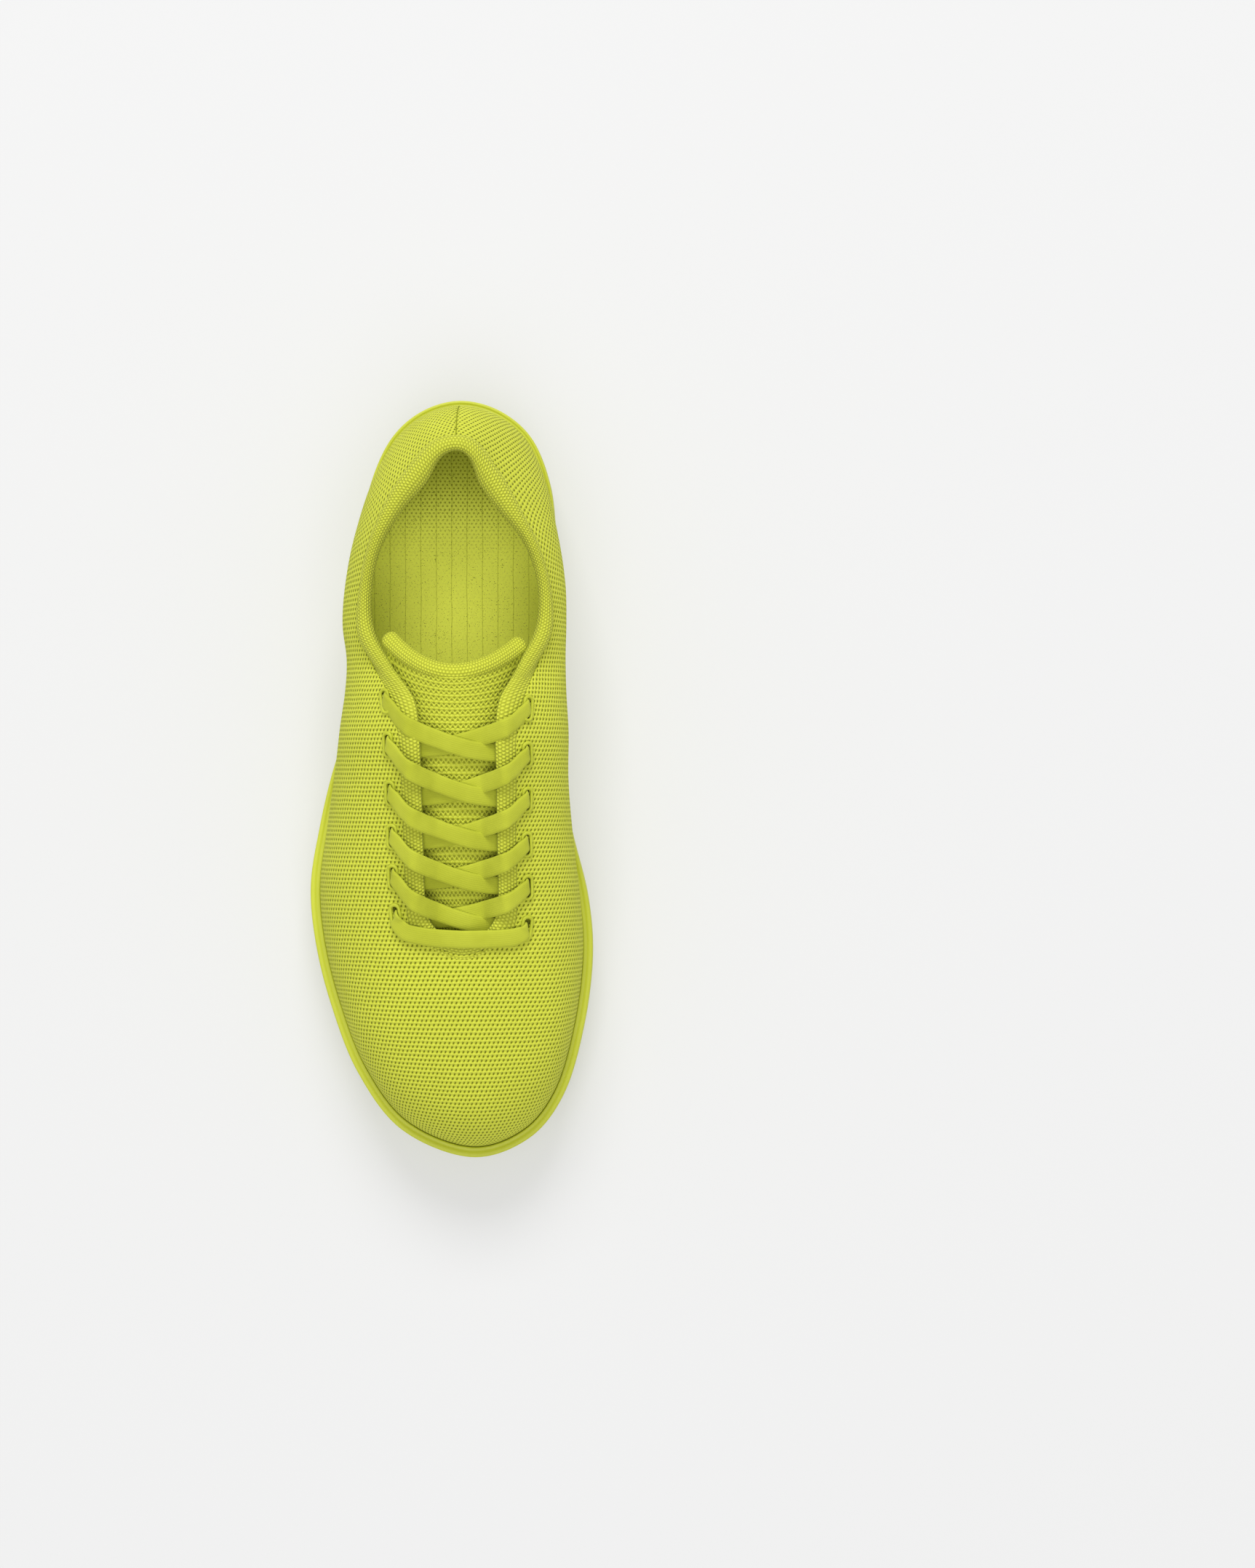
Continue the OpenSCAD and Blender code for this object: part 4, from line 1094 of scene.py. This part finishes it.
def build_lace():
    """Flat cord swept along the whole path, its width lying lengthwise on the shoe."""
    route, wide = lace_path()
    run = run_along(route)
    s = np.linspace(0, run[-1], int(run[-1] / 0.5))
    path = relax(np.stack([np.interp(s, run, route[:, i]) for i in range(3)], 1), 14)
    width = relax(np.interp(s, run, wide), 20)
    t = unit(np.gradient(path, axis=0))
    w = LACE_BROADWAY - (t @ LACE_BROADWAY)[:, None] * t
    w = unit(relax(unit(w), 10))
    w = unit(w - (w * t).sum(1, keepdims=True) * t)
    n = unit(np.cross(t, w))
    turn = full_turn(32)
    side = np.sign(np.cos(turn)) * np.abs(np.cos(turn)) ** 0.6 * LACE_HALF_WIDTH * width[:, None]
    high = np.sign(np.sin(turn)) * np.abs(np.sin(turn)) ** 0.85 * LACE_HALF_THICK
    p = path[:, None] + side[..., None] * w[:, None] + high[:, None] * n[:, None]
    lace = grid_object("lace_ribbon", p, arc_field(p, closed_t=True), closed_t=True)
    dress(lace, M_LACE, "shoe", "lace_cord", "lace")


AGLET_SHIFT = 0.4
AGLET_PROFILE = [(-13.1, 0), (-13, 1), (-12.4, 1.45), (-11.2, 1.6), (-11, 1.45), (-10.8, 1.6), (-3.2, 1.6),
                 (-3, 1.42), (-2.7, 1.42), (-2.4, 1.6), (-1.2, 1.6), (-1, 1.5), (-1, 0)]


def build_aglets():
    """Plastic tips on the lace's loose ends: turned pins with two fine grooves."""
    a = full_turn(40)
    rings = [np.stack([r * np.cos(a), r * np.sin(a), z + 0 * a], -1) for z, r in AGLET_PROFILE]
    for side, node in ((1, "aglet_medial"), (-1, "aglet_lateral")):
        p = np.stack(rings, 0) + tail(side)[0] + [side * AGLET_SHIFT, 0, 0]
        tip = grid_object(node + "_tip", p, closed_t=True)
        dress(tip, M_TIP, "shoe", "tip_plastic", node)


RIM_LONG = 2.7
RIM_RADIUS = 1.8
RIM_LIFT = 0.65


def eyelet_rim(side, k):
    """Grid of a slotted ring round an eyelet, thicker at the end away from the toe."""
    c, along, across, n = eye_frame(side, k)
    a = full_turn(72)
    out = np.cos(a)[:, None] * across + np.sin(a)[:, None] * along
    straight = np.where(np.sin(a) >= 0, RIM_LONG, -RIM_LONG) * np.minimum(1, np.abs(np.sin(a)) * 4)
    centre = c + RIM_RADIUS * out + straight[:, None] * along + RIM_LIFT * n
    fat = 0.6 + 0.1 * ease(-0.2, 1.0, np.sin(a))
    return tube(centre, out, n, fat, 0.95 * fat, 16)


def build_eyelets():
    for side, node in ((1, "eyelets_medial"), (-1, "eyelets_lateral")):
        for k in range(EYE_COUNT):
            rim = grid_object(f"{node}_rim_{k + 1}", eyelet_rim(side, k), closed_u=True, closed_t=True)
            dress(rim, M_EYELET, "shoe", "eyelet_plastic")
        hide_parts(node)


def build_throat_bar():
    """Low ridge of the seam at the foot of the throat."""
    u = np.linspace(-1.5, 1.5, 60)
    centre = point(u, groove_t(u) - 0.006, 0 * u)
    upward = unit(skin(u, groove_t(u)) - skin(u, groove_t(u) - 0.02))
    p = tube(centre, upward, out_normal(u, groove_t(u)), 0.5, 0.16, 12)
    bar = grid_object("throat_bar_seam", p, arc_field(p, closed_t=True), closed_t=True)
    dress(bar, M_BAND, "shoe", "knit", "throat_bar")


STITCH_STEP = 2.6
STITCH_LONG = 1.9
STITCH_LIFT = np.array([-0.25, 0.1, 0.2, 0.1, -0.25])
STITCH_RADIUS = np.array([0.12, 0.22, 0.24, 0.22, 0.12])


def build_stitches():
    """Small thread stitches lying in the seam outside the collar roll."""
    u_fine = np.linspace(10.3, 23.7, 6000)
    line = point(u_fine, groove_t(u_fine) + 0.001, -0.25 + 0 * u_fine)
    arc = run_along(line)
    verts, faces = [], []
    quads = grid_faces(5, 6, closed_t=True)[0][:, [0, 3, 2, 1]]
    for start, s in enumerate(np.arange(1, arc[-1] - 2, STITCH_STEP)):
        steps = s + np.linspace(0, 1, 5) * STITCH_LONG
        thread = np.stack([np.interp(steps, arc, line[:, i]) for i in range(3)], -1)
        u = np.interp(s + 0.9, arc, u_fine)
        n = out_normal(u, groove_t(u))
        side = np.cross(unit(thread[-1] - thread[0]), n)
        side = np.broadcast_to(side, thread.shape)
        verts.append(tube(thread + STITCH_LIFT[:, None] * n, side, n, STITCH_RADIUS, STITCH_RADIUS, 6))
        faces.append(quads + 30 * start)
    stitches = mesh_object("seam_stitches", np.concatenate(verts, 0), np.concatenate(faces, 0))
    dress(stitches, M_THREAD, "shoe", "lace_cord")


def build_heel_seam():
    """Fine dark thread down the centre-back seam."""
    t = np.linspace(0.03, 0.87, 120)
    centre = point(HALF + 0 * t, t, -0.32 + 0 * t)
    n = out_normal(HALF + 0 * t, t)
    side = np.cross(unit(np.gradient(centre, axis=0)), n)
    seam = grid_object("heel_seam_thread", tube(centre, side, n, 0.18, 0.18, 8), closed_t=True)
    dress(seam, M_SEAM, "shoe", "lace_cord")


build_upper()
build_heel_seam()
build_roll("facing_edge_medial_fold", 0.0, 9.6, M_BAND, "knit", "facing_edge_medial")
build_roll("collar_roll_soft", 9.6, 24.2, M_ROLL, "collar_knit", "collar_roll")
build_roll("facing_edge_lateral_fold", 24.2, 34.0, M_BAND, "knit", "facing_edge_lateral")
build_collar_lining()
build_vamp_lining()
build_midsole()
build_outsole()
build_insole()
build_tongue()
build_lace()
build_aglets()
build_eyelets()
build_throat_bar()
build_stitches()
INNER_PARTS = {
    "strobel_board": M_BOARD, "heel_counter": M_STIFF, "toe_puff": M_STIFF, "collar_foam": M_PADDING,
    "back_seam_tape": M_TAPE, "eyestay_medial": M_STIFF, "eyestay_lateral": M_STIFF,
    "tongue_foam": M_PADDING}
for node, material in INNER_PARTS.items():
    paint(NODES[node], material)


# ---------------------------------------------------------------- studio
FLOOR_GLOW = 0.395
FLOOR_HALF = 3000
FLOOR_GREY = (0.42, 0.42, 0.42, 1.0)
WHITE = (1, 1, 1, 1)


def build_floor():
    """Pale paper just under the shoe, glowing a little as a well lit sweep does."""
    ends = np.array([-FLOOR_HALF, FLOOR_HALF])
    x, y = np.meshgrid(ends, ends, indexing="ij")
    floor = grid_object("studio_floor", np.stack([x, y, -0.05 + 0 * x], -1))
    g = Graph("studio_floor_paper")
    g.bsdf.inputs["Emission Color"].default_value = WHITE
    g.bsdf.inputs["Emission Strength"].default_value = FLOOR_GLOW
    paper = g.finish(FLOOR_GREY, 0.9, g.bump(g.noise(300), 0.00002, 0.2), specular=0.0)
    paint(floor, paper)


def add_light(name, place, aim, size, power):
    data = bpy.data.lights.new(name, "AREA")
    data.shape = "RECTANGLE"
    data.size, data.size_y = size
    data.energy = power
    lamp = bpy.data.objects.new(name, data)
    bpy.context.scene.collection.objects.link(lamp)
    lamp.location = place
    way = np.array(aim, float) - np.array(place, float)
    lamp.rotation_euler = Vector(way).to_track_quat("-Z", "Y").to_euler()


def build_studio():
    build_floor()
    add_light("key_over_heel", (-0.14, 2.5, 2.4), (0.0, 0.0, 0.0), (1.8, 1.2), 74)
    add_light("fill_top", (-0.05, -0.8, 2.5), (0.0, 0.0, 0.0), (2.0, 2.0), 25)
    world = bpy.data.worlds.new("studio")
    world.use_nodes = True
    background = world.node_tree.nodes["Background"]
    background.inputs[0].default_value = WHITE
    background.inputs[1].default_value = 0.5
    bpy.context.scene.world = world
    camera = bpy.data.cameras.new("camera")
    camera.lens = 178.0
    camera.sensor_width = 36
    camera.clip_end = 20
    view = bpy.data.objects.new("camera", camera)
    bpy.context.scene.collection.objects.link(view)
    view.location = (0.0672, -0.0017, 3.0)
    bpy.context.scene.camera = view
    bpy.context.scene.view_settings.view_transform = "Standard"


build_studio()
